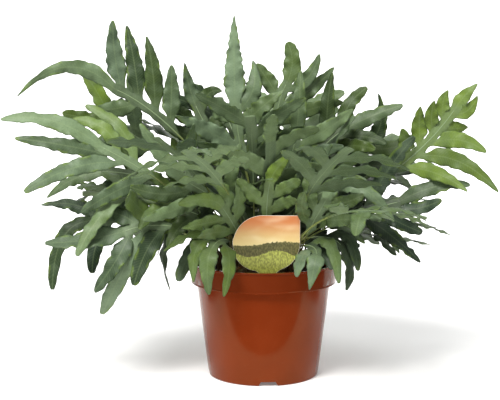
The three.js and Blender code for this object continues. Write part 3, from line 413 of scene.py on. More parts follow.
def fern_blade(look, underside=False):
    """A fern's leathery blade: blue-green under a thin waxy bloom, with a pale soft midrib.

    Its attributes are the way across and along a lobe, the distance from the margin and from
    the rib, all in millimetres, the lobe's own tone and yellow, and the painted shade that it takes inside
    the crown.
    """
    material, node, place = start_material("fern_blade_underside" if underside else "fern_blade")
    read = {name: node("Attribute", {}, "Fac", attribute_name=name)
            for name in BladeSheet.NAMES}
    dark, light = look.dark, look.light
    if underside:
        dark = mixed(look.dark, look.light, 0.45)
        light = mixed(look.light, look.rib, 0.35)
    # the bloom lies in clouds over the lobe's own tone
    clouds = node("TexNoise", {"Vector": place, "Scale": 1 / 0.017, "Detail": 3.0})
    bloom = node("Math", {0: clouds, 1: 1.3, 2: -0.68}, operation="MULTIPLY_ADD")
    shade = node("Math", {0: bloom, 1: read["tone"]}, operation="ADD", use_clamp=True)
    colour = node("Mix", {0: shade, 6: dark, 7: light}, 2, **COLOURS)
    # young tissue: whole lobes by their own yellow, and patches that follow the margins
    aside = node("Mapping", {"Vector": place, "Location": (3.1, 1.7, 0.4)})
    patches = node("TexNoise", {"Vector": aside, "Scale": 1 / 0.013, "Detail": 2.0})
    patch = node("MapRange", {0: patches, 1: 0.5, 2: 0.62}, **SMOOTH)
    by_margin = node("MapRange", {0: read["margin"], 1: 5.0, 2: 0.4, 4: 0.65}, **SMOOTH)
    edge_patch = node("Math", {0: patch, 1: by_margin}, operation="MULTIPLY")
    uneven = node("MapRange", {0: clouds, 1: 0.25, 2: 0.75, 3: 1.0, 4: 0.6}, **SMOOTH)
    young = node("Math", {0: uneven, 1: read["yellow"]}, operation="MULTIPLY")
    yellow = node("Math", {0: edge_patch, 1: young}, operation="MAXIMUM", use_clamp=True)
    colour = node("Mix", {0: yellow, 6: colour, 7: look.yellow}, 2, **COLOURS)
    # the rib's pale zone, the midrib's line and the side veins that slant towards the margin
    near_rib = node("MapRange", {0: read["reach"], 1: 1.0, 2: 22.0, 3: 0.24, 4: 0.0}, **SMOOTH)
    colour = node("Mix", {0: near_rib, 6: colour, 7: look.rib}, 2, **COLOURS)
    across = node("Math", {0: read["across"]}, operation="ABSOLUTE")
    midrib = node("MapRange", {0: across, 1: 0.15, 2: 1.1, 3: 0.17, 4: 0.0}, **SMOOTH)
    colour = node("Mix", {0: midrib, 6: colour, 7: look.rib}, 2, **COLOURS)
    slant = node("Math", {0: across, 1: -0.75, 2: read["along"]}, operation="MULTIPLY_ADD")
    phase = node("Math", {0: slant, 1: 2 * math.pi / 3.4}, operation="MULTIPLY")
    wave = node("Math", {0: phase}, operation="SINE")
    vein = node("MapRange", {0: wave, 1: 0.72, 2: 1.0}, **SMOOTH)
    faint = node("Math", {0: vein, 1: 0.1}, operation="MULTIPLY")
    colour = node("Mix", {0: faint, 6: colour, 7: look.rib}, 2, **COLOURS)
    fine = node("TexNoise", {"Vector": place, "Scale": 1 / 0.0022, "Detail": 3.0})
    mottled = node("MapRange", {0: fine, 1: 0.4, 2: 0.7, 4: 0.12}, **SMOOTH)
    colour = node("Mix", {0: mottled, 6: colour, 7: dark}, 2, **COLOURS)
    outline = node("MapRange", {0: read["margin"], 1: 0.35, 2: 1.1, 3: 0.45, 4: 0.0}, **SMOOTH)
    colour = node("Mix", {0: outline, 6: colour, 7: look.margin}, 2, **COLOURS)
    # painted shade: blades deep inside the crown are darkened towards the deep green, standing in for the
    # shade among the fronds
    painted_shade_amount = node("Math", {0: read["heart"], 1: 0.88}, operation="MULTIPLY")
    colour = node("Mix", {0: painted_shade_amount, 6: colour, 7: look.heart}, 2, **COLOURS)
    normal = node("Bump", {"Height": vein, "Strength": 0.6, "Distance": 0.00016 if underside else -0.0001})
    normal = node("Bump", {"Height": fine, "Strength": 0.7, "Distance": 0.00012, "Normal": normal})
    normal = node("Bump", {"Height": clouds, "Strength": 0.5, "Distance": 0.001, "Normal": normal})
    satin = node("MapRange", {0: fine, 1: 0.3, 2: 0.7, 3: 0.45, 4: 0.56}, **SMOOTH)
    return end_material(material, {"Base Color": colour, "Roughness": satin, "Normal": normal, "IOR": 1.37,
                                   "Sheen Weight": 0.06, "Sheen Roughness": 0.5,
                                   "Sheen Tint": (0.75, 0.9, 0.95, 1.0)})


def fern_stalk(look):
    """A fern's wiry stalk: polished straw green, brown where it leaves the rhizome."""
    material, node, place = start_material("fern_stalk")
    along = node("Attribute", {}, "Fac", attribute_name="along")
    blade = node("Attribute", {}, "Fac", attribute_name="blade")
    streaks = node("TexNoise", {"Vector": place, "Scale": 1 / 0.002, "Detail": 3.0})
    streaked = node("MapRange", {0: streaks, 1: 0.3, 2: 0.7, 4: 0.35}, **SMOOTH)
    colour = node("Mix", {0: streaked, 6: look.stalk, 7: look.margin}, 2, **COLOURS)
    foot = node("MapRange", {0: along, 1: 70.0, 2: 6.0}, **SMOOTH)
    colour = node("Mix", {0: foot, 6: colour, 7: look.stalk_foot}, 2, **COLOURS)
    beside_blade = mixed(look.rib, look.light, 0.5)
    colour = node("Mix", {0: blade, 6: colour, 7: beside_blade}, 2, **COLOURS)
    normal = node("Bump", {"Height": streaks, "Distance": 0.00008})
    return end_material(material, {"Base Color": colour, "Roughness": 0.42, "Normal": normal})


# ---------------------------------------------------------------------------------------------
# Pot
# ---------------------------------------------------------------------------------------------
POT_HEIGHT = 148
FOOT_RADIUS = 71.5
FOOT_INNER = 65
WALL = 2
FLOOR_UNDERSIDE = 6
BOSS_RADIUS = 12
BODY_TOP_RADIUS = 86.5
BAND_BOTTOM = 121
BAND_BOTTOM_RADIUS = 93.5
BAND_MIDDLE = 134
RIM_RADIUS = 97
LIP, LIP_EDGE, LIP_START = 1.2, 1.4, 2.5
NOTCH_COUNT, NOTCH_WIDE, NOTCH_NARROW, NOTCH_DEPTH, NOTCH_TURN = 4, 26, 18.5, 24, 5
DRAIN_COUNT, DRAIN_RADIUS, DRAIN_CIRCLE = 6, 5, 42


def body_radius(z):
    return mix(FOOT_RADIUS, BODY_TOP_RADIUS, z / BAND_BOTTOM)


def band_radius(z):
    return mix(BAND_BOTTOM_RADIUS, RIM_RADIUS, (z - BAND_BOTTOM) / (POT_HEIGHT - BAND_BOTTOM))


def pot_profile():
    """The pot's section from the middle of its underside round the rim to the middle of its floor."""
    floor = FLOOR_UNDERSIDE + WALL
    points = [
        (BOSS_RADIUS, 0), (BOSS_RADIUS + 2, FLOOR_UNDERSIDE), (FOOT_INNER - 2, FLOOR_UNDERSIDE),
        (FOOT_INNER, 0), (FOOT_RADIUS - 1, 0), (FOOT_RADIUS, 1.2),
    ]
    points += [(body_radius(z), z) for z in (20, 40, 60, 80, 100, BAND_BOTTOM - 1)]
    points += [
        (BAND_BOTTOM_RADIUS - 0.5, BAND_BOTTOM), (BAND_BOTTOM_RADIUS + 0.5, BAND_BOTTOM + 0.3),
        (BAND_BOTTOM_RADIUS + 0.7, BAND_BOTTOM + 1.2), (BAND_BOTTOM_RADIUS + 0.2, BAND_BOTTOM + 2.4),
        (band_radius(BAND_MIDDLE) - 0.2, BAND_MIDDLE), (RIM_RADIUS - 0.4, POT_HEIGHT - LIP_START),
        (RIM_RADIUS + LIP, POT_HEIGHT - LIP_EDGE), (RIM_RADIUS + LIP, POT_HEIGHT),
        (RIM_RADIUS - WALL, POT_HEIGHT), (band_radius(BAND_BOTTOM + 3) - WALL, BAND_BOTTOM + 3),
        (BODY_TOP_RADIUS - WALL, BAND_BOTTOM), (body_radius(floor) - WALL, floor),
        (BOSS_RADIUS, floor), (BOSS_RADIUS - 2, WALL),
    ]
    return points


def cut_away(item, cutter):
    """Cuts one object out of another and deletes the cutter."""
    apply_modifier(item, "BOOLEAN", operation="DIFFERENCE", object=cutter, solver="EXACT")
    bpy.data.objects.remove(cutter)


def cut_notch(pot, turn):
    """A wedge-sided notch through the foot ring, as the mould leaves it."""
    middle = (0, -FOOT_RADIUS * MM, (FLOOR_UNDERSIDE - 1.5) / 2 * MM)
    bpy.ops.mesh.primitive_cube_add(size=1, location=middle)
    cutter = bpy.context.object
    cutter.scale = (NOTCH_WIDE * MM, NOTCH_DEPTH * MM, (FLOOR_UNDERSIDE + 0.5) * MM)
    settle(cutter)
    bpy.ops.object.mode_set(mode="EDIT")
    mesh = bmesh.from_edit_mesh(cutter.data)
    for vertex in mesh.verts:
        vertex.select = vertex.co.z > 0
    mesh.select_flush_mode()
    bmesh.update_edit_mesh(cutter.data)
    bpy.ops.transform.resize(value=(NOTCH_NARROW / NOTCH_WIDE, 1, 1))
    bpy.ops.object.mode_set(mode="OBJECT")
    cutter.rotation_euler.z = turn
    settle(cutter)
    cut_away(pot, cutter)


def cut_drain(pot, angle):
    place = (DRAIN_CIRCLE * math.cos(angle) * MM, DRAIN_CIRCLE * math.sin(angle) * MM, FLOOR_UNDERSIDE * MM)
    bpy.ops.mesh.primitive_cylinder_add(vertices=40, radius=DRAIN_RADIUS * MM, depth=12 * MM, location=place)
    cutter = bpy.context.object
    settle(cutter)
    cut_away(pot, cutter)


class FERN_OT_pot(bpy.types.Operator):
    """Spin up the pot from its section, cut its drain holes and foot notches and round its edges"""
    bl_idname = "fern.pot"
    bl_label = "Pot"

    def execute(self, context):
        look = context.scene.fern_pot
        profile = pot_profile()
        radius, z = profile[0]
        deselect_all()
        bpy.ops.mesh.primitive_circle_add(vertices=look.segments, radius=radius * MM, location=(0, 0, z * MM))
        pot = context.object
        pot.name = "nursery_pot"
        bpy.ops.object.mode_set(mode="EDIT")
        bpy.ops.mesh.select_all(action="SELECT")
        for (last_radius, last_z), (radius, z) in zip(profile, profile[1:]):
            bpy.ops.mesh.extrude_edges_move(TRANSFORM_OT_translate={"value": (0, 0, (z - last_z) * MM)})
            grow = radius / last_radius
            bpy.ops.transform.resize(value=(grow, grow, 1))
        bpy.ops.mesh.edge_face_add()
        bpy.ops.mesh.select_all(action="DESELECT")
        bpy.ops.mesh.select_mode(type="EDGE")
        bpy.ops.mesh.select_non_manifold()
        bpy.ops.mesh.edge_face_add()
        bpy.ops.mesh.select_mode(type="VERT")
        bpy.ops.mesh.select_all(action="SELECT")
        bpy.ops.mesh.normals_make_consistent(inside=False)
        bpy.ops.object.mode_set(mode="OBJECT")
        settle(pot)
        for k in range(NOTCH_COUNT):
            cut_notch(pot, math.radians(NOTCH_TURN + k * 360 / NOTCH_COUNT))
        for k in range(DRAIN_COUNT):
            cut_drain(pot, k * 2 * math.pi / DRAIN_COUNT)
        apply_modifier(pot, "BEVEL", width=look.edge_round * MM, segments=3, limit_method="ANGLE",
                       angle_limit=math.radians(28), use_clamp_overlap=True)
        smooth_by_angle(pot, 32)
        dress(pot, moulded_polypropylene(look))
        stand_for(pot, "terracotta_plastic", "pot")
        return {"FINISHED"}


# ---------------------------------------------------------------------------------------------
# Rhizome's run, shared by the soil, the rhizome and the fronds
# ---------------------------------------------------------------------------------------------
SOIL_EDGE = 134
SOIL_TOP = 139
CLOD_DROP = 0.6  # the clods' mean level under the solid's top
ARM_COUNT, ARM_REACH, ARM_THICK, ARM_THIN, ARM_SWAY, ARM_TURN = 4, 74, 7.5, 5.8, 7, 40
SEATS_PER_ARM, SEAT_FIRST, SEAT_STEP, SEAT_SIDE, SEAT_DEPTH, SEAT_SINK = 14, 9, 4.7, 2.7, 5.65, 0.6
SCALES_PER_ARM = 170


def arm_point(arm, distance):
    angle = math.radians(ARM_TURN) + arm * 2 * math.pi / ARM_COUNT
    sway = ARM_SWAY * math.sin(distance / ARM_REACH * math.pi * 1.5)
    x = math.cos(angle) * distance - math.sin(angle) * sway
    y = math.sin(angle) * distance + math.cos(angle) * sway
    return np.array([x, y, SOIL_TOP + 1 - 3 * (distance / ARM_REACH) ** 2])


def arm_radius(distance):
    return mix(ARM_THICK, ARM_THIN, distance / ARM_REACH)


def arm_frame(arm, distance):
    here = arm_point(arm, distance)
    forward = unit(arm_point(arm, distance + 1) - here)
    across = unit(np.cross(forward, UP))
    return here, forward, across, np.cross(across, forward)


class FERN_OT_soil(bpy.types.Operator):
    """Heap the peat in the pot and strew crumbs on it"""
    bl_idname = "fern.soil"
    bl_label = "Soil"

    def execute(self, context):
        look = context.scene.fern_soil
        edge = band_radius(SOIL_EDGE) - WALL - 0.5
        floor = FLOOR_UNDERSIDE + WALL + 0.4
        sides = 96
        rings = [(body_radius(floor) - WALL - 0.7, floor), (BODY_TOP_RADIUS - WALL - 0.7, BAND_BOTTOM),
                 (edge - 1.0, BAND_BOTTOM + 4), (edge, SOIL_EDGE - 1)]
        rings += [(mix(edge - 0.4, 2.0, k / 30), None) for k in range(31)]
        points = []
        for radius, z in rings:
            for side in range(sides):
                angle = 2 * math.pi * side / sides
                x, y = radius * math.cos(angle), radius * math.sin(angle)
                points.append((x, y, self.height(x, y, radius, edge) if z is None else z))
        soil = object_of("peat", points, tube_faces(len(rings), sides))
        pick(soil, *(self.crumb(k, look.crumb_size / MM, edge) for k in range(look.crumbs)))
        bpy.ops.object.join()
        smooth_by_angle(soil, 50)
        dress(soil, moist_peat(look))
        stand_for(soil, "peat", "soil")
        return {"FINISHED"}

    @staticmethod
    def height(x, y, radius, edge):
        """The heap's top: a low dome with clods, damped where it meets the wall."""
        dome = mix(SOIL_TOP, SOIL_EDGE, (radius / edge) ** 2)
        clods = 1.3 * math.sin(x * 0.31 + 1.7 * math.sin(y * 0.17))
        clods *= math.cos(y * 0.27 + 1.1 * math.sin(x * 0.21))
        grit = spread(round(x * 3) + 7.3 * round(y * 3), 0.7)
        return dome - CLOD_DROP + (clods + grit) * min(1.0, (edge - radius) / 6)

    def crumb(self, k, size, edge):
        """One crumb: a squashed twenty-faced lump, turned at random."""
        angle = 2 * math.pi * draw(k + 0.21)
        radius = (edge - 4) * math.sqrt(draw(k + 0.43))
        x, y = radius * math.cos(angle), radius * math.sin(angle)
        width = size * (0.4 + 0.9 * draw(k + 0.61) ** 2) / 2
        place = Vector((x, y, self.height(x, y, radius, edge) + width * 0.3)) * MM
        turn = Matrix.Rotation(6.28 * draw(k + 0.7), 4, "Z") @ Matrix.Rotation(3.1 * draw(k + 0.8), 4, "X")
        shape = Matrix.Diagonal((width * MM, width * mix(0.6, 1, draw(k + 0.9)) * MM, width * 0.6 * MM, 1))
        mesh = bpy.data.meshes.new("crumb")
        lump = bmesh.new()
        lie = Matrix.Translation(place) @ turn @ shape
        bmesh.ops.create_icosphere(lump, subdivisions=1, radius=1, matrix=lie)
        lump.to_mesh(mesh)
        lump.free()
        made = bpy.data.objects.new("crumb", mesh)
        bpy.context.scene.collection.objects.link(made)
        return made


class FERN_OT_rhizome(bpy.types.Operator):
    """Lay the creeping rhizome with its papery scales"""
    bl_idname = "fern.rhizome"
    bl_label = "Rhizome"
    sides = 20
    stations = 44

    def execute(self, context):
        look = context.scene.fern_soil
        arms = [self.arm(k) for k in range(ARM_COUNT)]
        scales = self.scales()
        skin = rhizome_skin(look)
        for item in arms:
            dress(item, skin)
        dress(scales, papery_scale(look))
        pick(*arms, scales)
        bpy.ops.object.join()
        rhizome = arms[0]
        rhizome.name = "scaly_rhizome"
        smooth_by_angle(rhizome, 60)
        stand_for(rhizome, "rhizome_bark", "rhizome")
        return {"FINISHED"}

    def arm(self, arm):
        """One arm as a lumpy tube with a rounded end."""
        points = []
        for k in range(self.stations + 1):
            distance = mix(0, ARM_REACH + 3.4, k / self.stations)
            here, forward, across, above = arm_frame(arm, min(distance, ARM_REACH))
            here = here + forward * max(0, distance - ARM_REACH)
            closing = math.sqrt(max(0.02, 1 - max(0, (distance - ARM_REACH + 2.4) / 6) ** 2))
            for side in range(self.sides):
                angle = 2 * math.pi * side / self.sides
                lump = 1 + 0.05 * math.sin(distance * 0.9 + 3 * angle) + spread(side + 31.7 * k + arm, 0.035)
                radius = arm_radius(min(distance, ARM_REACH)) * closing * lump
                points.append(here + across * radius * math.cos(angle) - above * radius * math.sin(angle))
        made = object_of("rhizome_arm", points, tube_faces(self.stations + 1, self.sides))
        face_outwards(made)
        return made

    @staticmethod
    def scales():
        """Narrow pointed scales that lie along the arms' tops like chaff, each a thin closed wedge."""
        points, faces = [], []
        for arm in range(ARM_COUNT):
            for k in range(SCALES_PER_ARM):
                seed = arm * 400 + k
                distance = ARM_REACH * (0.04 + 0.97 * draw(seed + 0.15))
                here, forward, across, above = arm_frame(arm, min(distance, ARM_REACH - 0.5))
                angle = spread(seed + 0.35, 1.5)
                outward = above * math.cos(angle) + across * math.sin(angle)
                sideways = np.cross(forward, outward)
                lean = unit(forward * 0.9 + outward * (0.25 + 0.3 * draw(seed + 0.55))
                            + sideways * spread(seed + 0.75, 0.6))
                breadth = unit(np.cross(lean, outward))
                root = here + outward * (arm_radius(min(distance, ARM_REACH)) - 0.3)
                length = 3.6 + 3.2 * draw(seed + 0.95)
                tip = root + lean * length + outward * 0.4
                middle = root + lean * length * 0.4 + outward * 0.5
                first = len(points)
                points += [root - breadth * 0.4, root + breadth * 0.4, middle - breadth * 0.75,
                           middle + breadth * 0.75, tip, root - outward * 0.3, middle - outward * 0.25]
                a, b, c, d, e, f, g = range(first, first + 7)
                faces += [(a, b, d, c), (c, d, e), (b, a, f), (a, c, g, f), (d, b, f, g), (c, e, g),
                          (e, d, g)]
        return object_of("scales", points, faces)


# ---------------------------------------------------------------------------------------------
# Label
# ---------------------------------------------------------------------------------------------
LABEL_Y, LABEL_THICK, LABEL_TOP, LABEL_LEFT, LABEL_RIGHT = -74, 1.1, 216, -38, 45
LABEL_SIDE, LABEL_WAIST, LABEL_FOOT, LABEL_STAKE = 178, 143, 98, 9
LABEL_MIDDLE, LABEL_CORNER, LABEL_RIM = 5, 1.8, 0.8


def bow(start, control, end, count):
    """Points on a quadratic curve, without its first one."""
    shares = [k / count for k in range(1, count + 1)]
    return [tuple((1 - t) ** 2 * s + 2 * t * (1 - t) * c + t * t * e for s, c, e in zip(start, control, end))
            for t in shares]


def label_outline():
    """The card's outline from its point up the right side, over the top and down the left."""
    stake = LABEL_STAKE / 2
    shoulder = (LABEL_MIDDLE + stake + 1, LABEL_WAIST - 14)
    left_shoulder = (LABEL_MIDDLE - stake - 1, LABEL_WAIST - 14)
    points = [(LABEL_MIDDLE, LABEL_FOOT), (LABEL_MIDDLE + stake, LABEL_FOOT + 12), shoulder]
    points += bow(shoulder, (LABEL_MIDDLE + 6.5, LABEL_WAIST + 1), (LABEL_MIDDLE + 17, LABEL_WAIST + 6), 6)
    points += bow(points[-1], (LABEL_RIGHT - 4, LABEL_WAIST + 13), (LABEL_RIGHT, LABEL_SIDE), 14)
    points.append((LABEL_RIGHT, LABEL_TOP - LABEL_CORNER))
    points += bow(points[-1], (LABEL_RIGHT, LABEL_TOP), (LABEL_RIGHT - LABEL_CORNER, LABEL_TOP), 4)
    points.append((LABEL_LEFT + 34, LABEL_TOP))
    points += bow(points[-1], (LABEL_LEFT + 7, LABEL_TOP - 3), (LABEL_LEFT, LABEL_TOP - 32), 14)
    points += bow(points[-1], (LABEL_LEFT, LABEL_TOP - 64), (LABEL_MIDDLE - 15, LABEL_WAIST + 4), 14)
    points += bow(points[-1], (LABEL_MIDDLE - 6.5, LABEL_WAIST + 1), left_shoulder, 6)
    points.append((LABEL_MIDDLE - stake, LABEL_FOOT + 12))
    return points


class FERN_OT_label(bpy.types.Operator):
    """Cut the stick-in label from card, round its edges and give it a plain generic print"""
    bl_idname = "fern.label"
    bl_label = "Label"

    def execute(self, context):
        look = context.scene.fern_label
        front_y = LABEL_Y - LABEL_THICK / 2
        outline = [(x, front_y, z) for x, z in label_outline()]
        card = object_of("stick_in_label", outline, [tuple(range(len(outline)))])
        pick(card)
        bpy.ops.object.mode_set(mode="EDIT")
        bpy.ops.mesh.select_all(action="SELECT")
        bpy.ops.mesh.inset(thickness=LABEL_RIM * MM)
        bpy.ops.object.mode_set(mode="OBJECT")
        face_outwards(card)
        if card.data.polygons[0].normal.y > 0:
            card.data.flip_normals()
        inner = set(max(card.data.polygons, key=lambda face: len(face.vertices)).vertices)
        count = len(card.data.vertices)
        write_attribute(card, "rim", [LABEL_RIM if k in inner else 0.0 for k in range(count)])
        apply_modifier(card, "SOLIDIFY", thickness=LABEL_THICK * MM, offset=-1, material_offset=1,
                       material_offset_rim=1)
        dress(card, printed_card(look), plain_card(look))
        apply_modifier(card, "BEVEL", width=0.2 * MM, segments=2, limit_method="ANGLE",
                       angle_limit=math.radians(60))
        smooth_by_angle(card, 30)
        stand_for(card, "printed_card", "label")
        return {"FINISHED"}


# ---------------------------------------------------------------------------------------------
# Fronds: how each grows. The rib's last bend and its end, the way the blade faces, where the blade
# begins along the rib, its steps, and the lobes as [step, side, tip x, tip y, tip z, width, arch].
# ---------------------------------------------------------------------------------------------
VIEWER = (0, -1, 0.25)
SHOWN = [
    ("frond_left_hand", 60, (-130, -55, 262), (-200, -66, 300), (0.1, -1, 0.45), 0.68, 6, [
        (0, 0, -321, -80, 334, 19, 14), (5, -1, -302, -90, 312, 15, 32), (3, -1, -288, -110, 247, 18, 28),
        (0, -1, -222, -95, 221, 18), (4, 1, -238, -50, 333, 15), (2, 1, -225, -40, 350, 16)]),
    ("frond_upper_left", 80, (-122, -5, 343), (-190, -10, 370), (0, -1, 0.1), 0.66, 8, [
        (0, 0, -309, -40, 359, 14, 37), (7, 1, -190, -14, 457, 18), (5, 1, -175, 4, 451, 16),
        (3, 1, -148, -16, 437, 17), (1, 1, -118, 4, 401, 17), (5, -1, -215, -45, 345, 17)]),
    ("frond_spike", 90, (-34, -22, 290), (-36, -20, 350), VIEWER, 0.68, 6, [
        (0, 0, -37, -20, 463, 24), (4, -1, -70, -36, 356, 16), (1, -1, -111, -45, 338, 20),
        (3, 1, 26, -24, 369, 18), (5, 1, -14, 5, 407, 18), (0, 1, 20, -40, 318, 16)]),
    ("frond_top_right", 90, (8, 12, 340), (30, 8, 378), VIEWER, 0.7, 6, [
        (0, 0, 30, 6, 430, 22, 4), (4, -1, -10, 0, 402, 17), (5, 1, 72, 14, 415, 15),
        (3, 1, 92, 12, 398, 17), (1, 1, 104, 24, 352, 15), (1, -1, -30, 10, 372, 16)]),
    ("frond_top_front", 80, (36, -26, 270), (41, -32, 316), (0.15, -1, 0.3), 0.66, 6, [
        (0, 0, 46, -32, 394, 19), (4, 1, 114, -16, 345, 21), (2, 1, 100, -50, 300, 18),
        (3, -1, 2, -55, 345, 17), (1, -1, -22, -60, 300, 18), (0, 1, 86, -70, 262, 17)]),
    ("frond_right_mid", 90, (72, 8, 300), (108, 4, 320), (0, -1, 0.35), 0.68, 6, [
        (0, 0, 179, 0, 350, 18), (4, 1, 157, -16, 300, 13, 16), (2, 1, 141, -24, 294, 15, 14),
        (5, -1, 134, 12, 372, 14), (3, -1, 88, 18, 392, 17), (0, 1, 96, -30, 250, 16)]),
    ("frond_right_hero", 60, (172, -16, 236), (240, -32, 347), (-0.1, -1, 0.2), 0.66, 9, [
        (0, 0, 267, -32, 377, 15), (0, 1, 254, -55, 243, 17, 8), (2, 1, 292, -56, 242, 20, 14),
        (4, 1, 278, -44, 291, 20, 16), (6, 1, 258, -38, 322, 16), (8, 1, 268, -34, 362, 12),
        (1, -1, 174, -30, 321, 17), (3, -1, 196, -32, 349, 17), (5, -1, 212, -34, 356, 13),
        (7, -1, 230, -34, 369, 13)]),
    ("frond_right_low", 50, (120, -30, 216), (172, -28, 228), (0, -1, 0.5), 0.62, 6, [
        (0, 0, 261, -34, 250, 18, 14), (5, 1, 225, -36, 232, 15, 8), (3, 1, 203, -24, 188, 13),
        (1, 1, 198, -48, 153, 17), (2, -1, 190, 10, 312, 20), (0, -1, 128, 0, 282, 17)]),
    ("frond_right_inner", 70, (60, -56, 240), (90, -66, 250), (0.2, -1, 0.6), 0.52, 6, [
        (0, 0, 160, -84, 208, 17), (3, 1, 116, -100, 200, 16), (0, 1, 74, -98, 206, 15),
        (4, -1, 128, -74, 284, 17), (2, -1, 84, -84, 304, 18)]),
    ("frond_left_low", 50, (-125, -62, 214), (-172, -74, 196), (-0.1, -1, 0.6), 0.58, 6, [
        (0, 0, -266, -100, 185, 20), (1, -1, -158, -100, 132, 17, 8), (3, -1, -204, -70, 86, 17),
        (5, -1, -209, -84, 122, 15), (4, 1, -206, -84, 222, 16), (2, 1, -158, -90, 248, 17)]),
    ("frond_left_dark", 45, (-162, -20, 215), (-216, -34, 204), (-0.2, -1, 0.7), 0.66, 5, [
        (0, 0, -266, -52, 116, 16, 10), (3, -1, -214, -60, 140, 16), (4, 1, -286, -20, 222, 16),
        (2, 1, -240, -6, 252, 17)]),
    ("frond_left_behind", 60, (-150, 14, 268), (-210, 6, 262), (-0.2, -1, 0.6), 0.64, 5, [
        (0, 0, -282, -12, 228, 17), (3, -1, -232, -26, 196, 17), (1, -1, -186, -26, 200, 17),
        (4, 1, -262, 6, 300, 16), (2, 1, -210, 14, 330, 17)]),
    ("frond_rim_left", 36, (-52, -84, 196), (-62, -102, 180), (0.1, -1, 1), 0.56, 5, [
        (0, 0, -65, -114, 124, 16), (3, 1, -84, -110, 138, 15), (2, -1, -48, -118, 122, 13),
        (1, 1, -122, -96, 174, 16)]),
    ("frond_rim_right", 34, (68, -76, 186), (64, -104, 172), (0, -1, 1), 0.6, 3, [
        (0, 0, 55, -112, 130, 15), (0, -1, 92, -98, 134, 12, 8), (1, 1, 40, -114, 146, 11)]),
    ("frond_right_hang", 40, (82, -44, 196), (97, -56, 176), (0.5, -1, 1), 0.6, 4, [
        (0, 0, 103, -64, 120, 13), (2, -1, 117, -66, 146, 13), (1, 1, 84, -92, 150, 13)]),
    ("frond_rim_far_left", 36, (-80, 0, 196), (-106, 0, 186), (-0.5, -1, 0.8), 0.5, 4, [
        (0, 0, -122, 10, 104, 16), (1, -1, -106, -60, 132, 15), (3, 1, -140, 10, 150, 15)]),
    ("frond_left_top_back", 70, (-150, 30, 312), (-212, 34, 325), (0, -1, 0.3), 0.66, 5, [
        (0, 0, -262, 16, 338, 16), (4, 1, -238, 28, 394, 18), (2, 1, -176, 40, 398, 17),
        (3, -1, -232, 10, 286, 17), (1, -1, -180, 20, 262, 17)]),
    ("frond_top_back", 80, (-78, 30, 320), (-90, 34, 350), VIEWER, 0.66, 5, [
        (0, 0, -103, 30, 404, 16), (4, 1, -54, 30, 366, 13, 12), (3, -1, -130, 20, 372, 16),
        (2, 1, -40, 34, 330, 16), (1, -1, -140, 24, 330, 17)]),
    ("frond_middle_left", 80, (-78, -56, 240), (-100, -68, 262), VIEWER, 0.6, 6, [
        (0, 0, -150, -84, 330, 18), (4, -1, -165, -98, 252, 18), (2, -1, -146, -104, 214, 17),
        (5, 1, -84, -92, 330, 18), (3, 1, -44, -96, 286, 18), (0, -1, -70, -104, 200, 16)]),
    ("frond_left_inner", 46, (-72, -40, 214), (-104, -52, 222), (0, -1, 0.6), 0.5, 5, [
        (0, 0, -158, -76, 198, 17), (3, -1, -118, -90, 176, 16), (1, -1, -78, -100, 184, 15),
        (4, 1, -138, -50, 272, 16), (2, 1, -78, -60, 276, 16)]),
    ("frond_middle_low", 44, (-2, -20, 206), (2, -30, 226), VIEWER, 0.5, 4, [
        (0, 0, 8, -34, 288, 16), (3, -1, -50, -44, 262, 15), (2, 1, 50, -46, 252, 15),
        (1, -1, -54, -66, 222, 15)]),
    ("frond_middle_front", 50, (-30, -44, 214), (-38, -56, 236), (0, -1, 0.6), 0.55, 4, [
        (0, 0, -28, -62, 304, 17), (3, -1, -96, -84, 236, 16, 10), (1, -1, -88, -88, 204, 16),
        (2, 1, 12, -84, 262, 16), (0, 1, 8, -90, 232, 15)]),
    ("frond_middle_right", 50, (30, -22, 210), (36, -30, 230), (0.2, -1, 0.5), 0.55, 4, [
        (0, 0, 58, -46, 296, 16), (3, 1, 104, -40, 270, 16, 8), (1, 1, 88, -84, 206, 16),
        (2, -1, -8, -66, 268, 16)]),
    ("frond_right_back", 80, (112, 44, 270), (142, 46, 300), (0, -1, 0.3), 0.66, 5, [
        (0, 0, 150, 40, 364, 19), (4, 1, 214, 36, 318, 17), (2, 1, 202, 30, 262, 17),
        (3, -1, 104, 40, 348, 17)]),
    ("frond_inner_left", 30, (-34, -8, 186), (-58, -14, 198), (0, -1, 0.5), 0.42, 4, [
        (0, 0, -116, -30, 214, 17), (2, 1, -74, -22, 250, 17), (0, 1, -26, -20, 236, 16),
        (3, -1, -110, -40, 176, 16), (1, -1, -62, -56, 174, 15)]),
    ("frond_inner_middle", 40, (10, 26, 214), (20, 22, 236), (0, -1, 0.4), 0.42, 4, [
        (0, 0, 24, 4, 302, 17), (2, -1, -34, 0, 268, 17), (1, 1, 56, 0, 236, 17),
        (0, -1, -22, -14, 206, 15)]),
    ("frond_inner_right", 30, (54, -28, 178), (80, -34, 188), (0.2, -1, 0.5), 0.42, 4, [
        (0, 0, 128, -50, 198, 16), (2, -1, 100, -30, 232, 16), (0, -1, 56, -34, 226, 15),
        (1, 1, 94, -66, 166, 14), (3, 1, 124, -60, 172, 14)]),
]

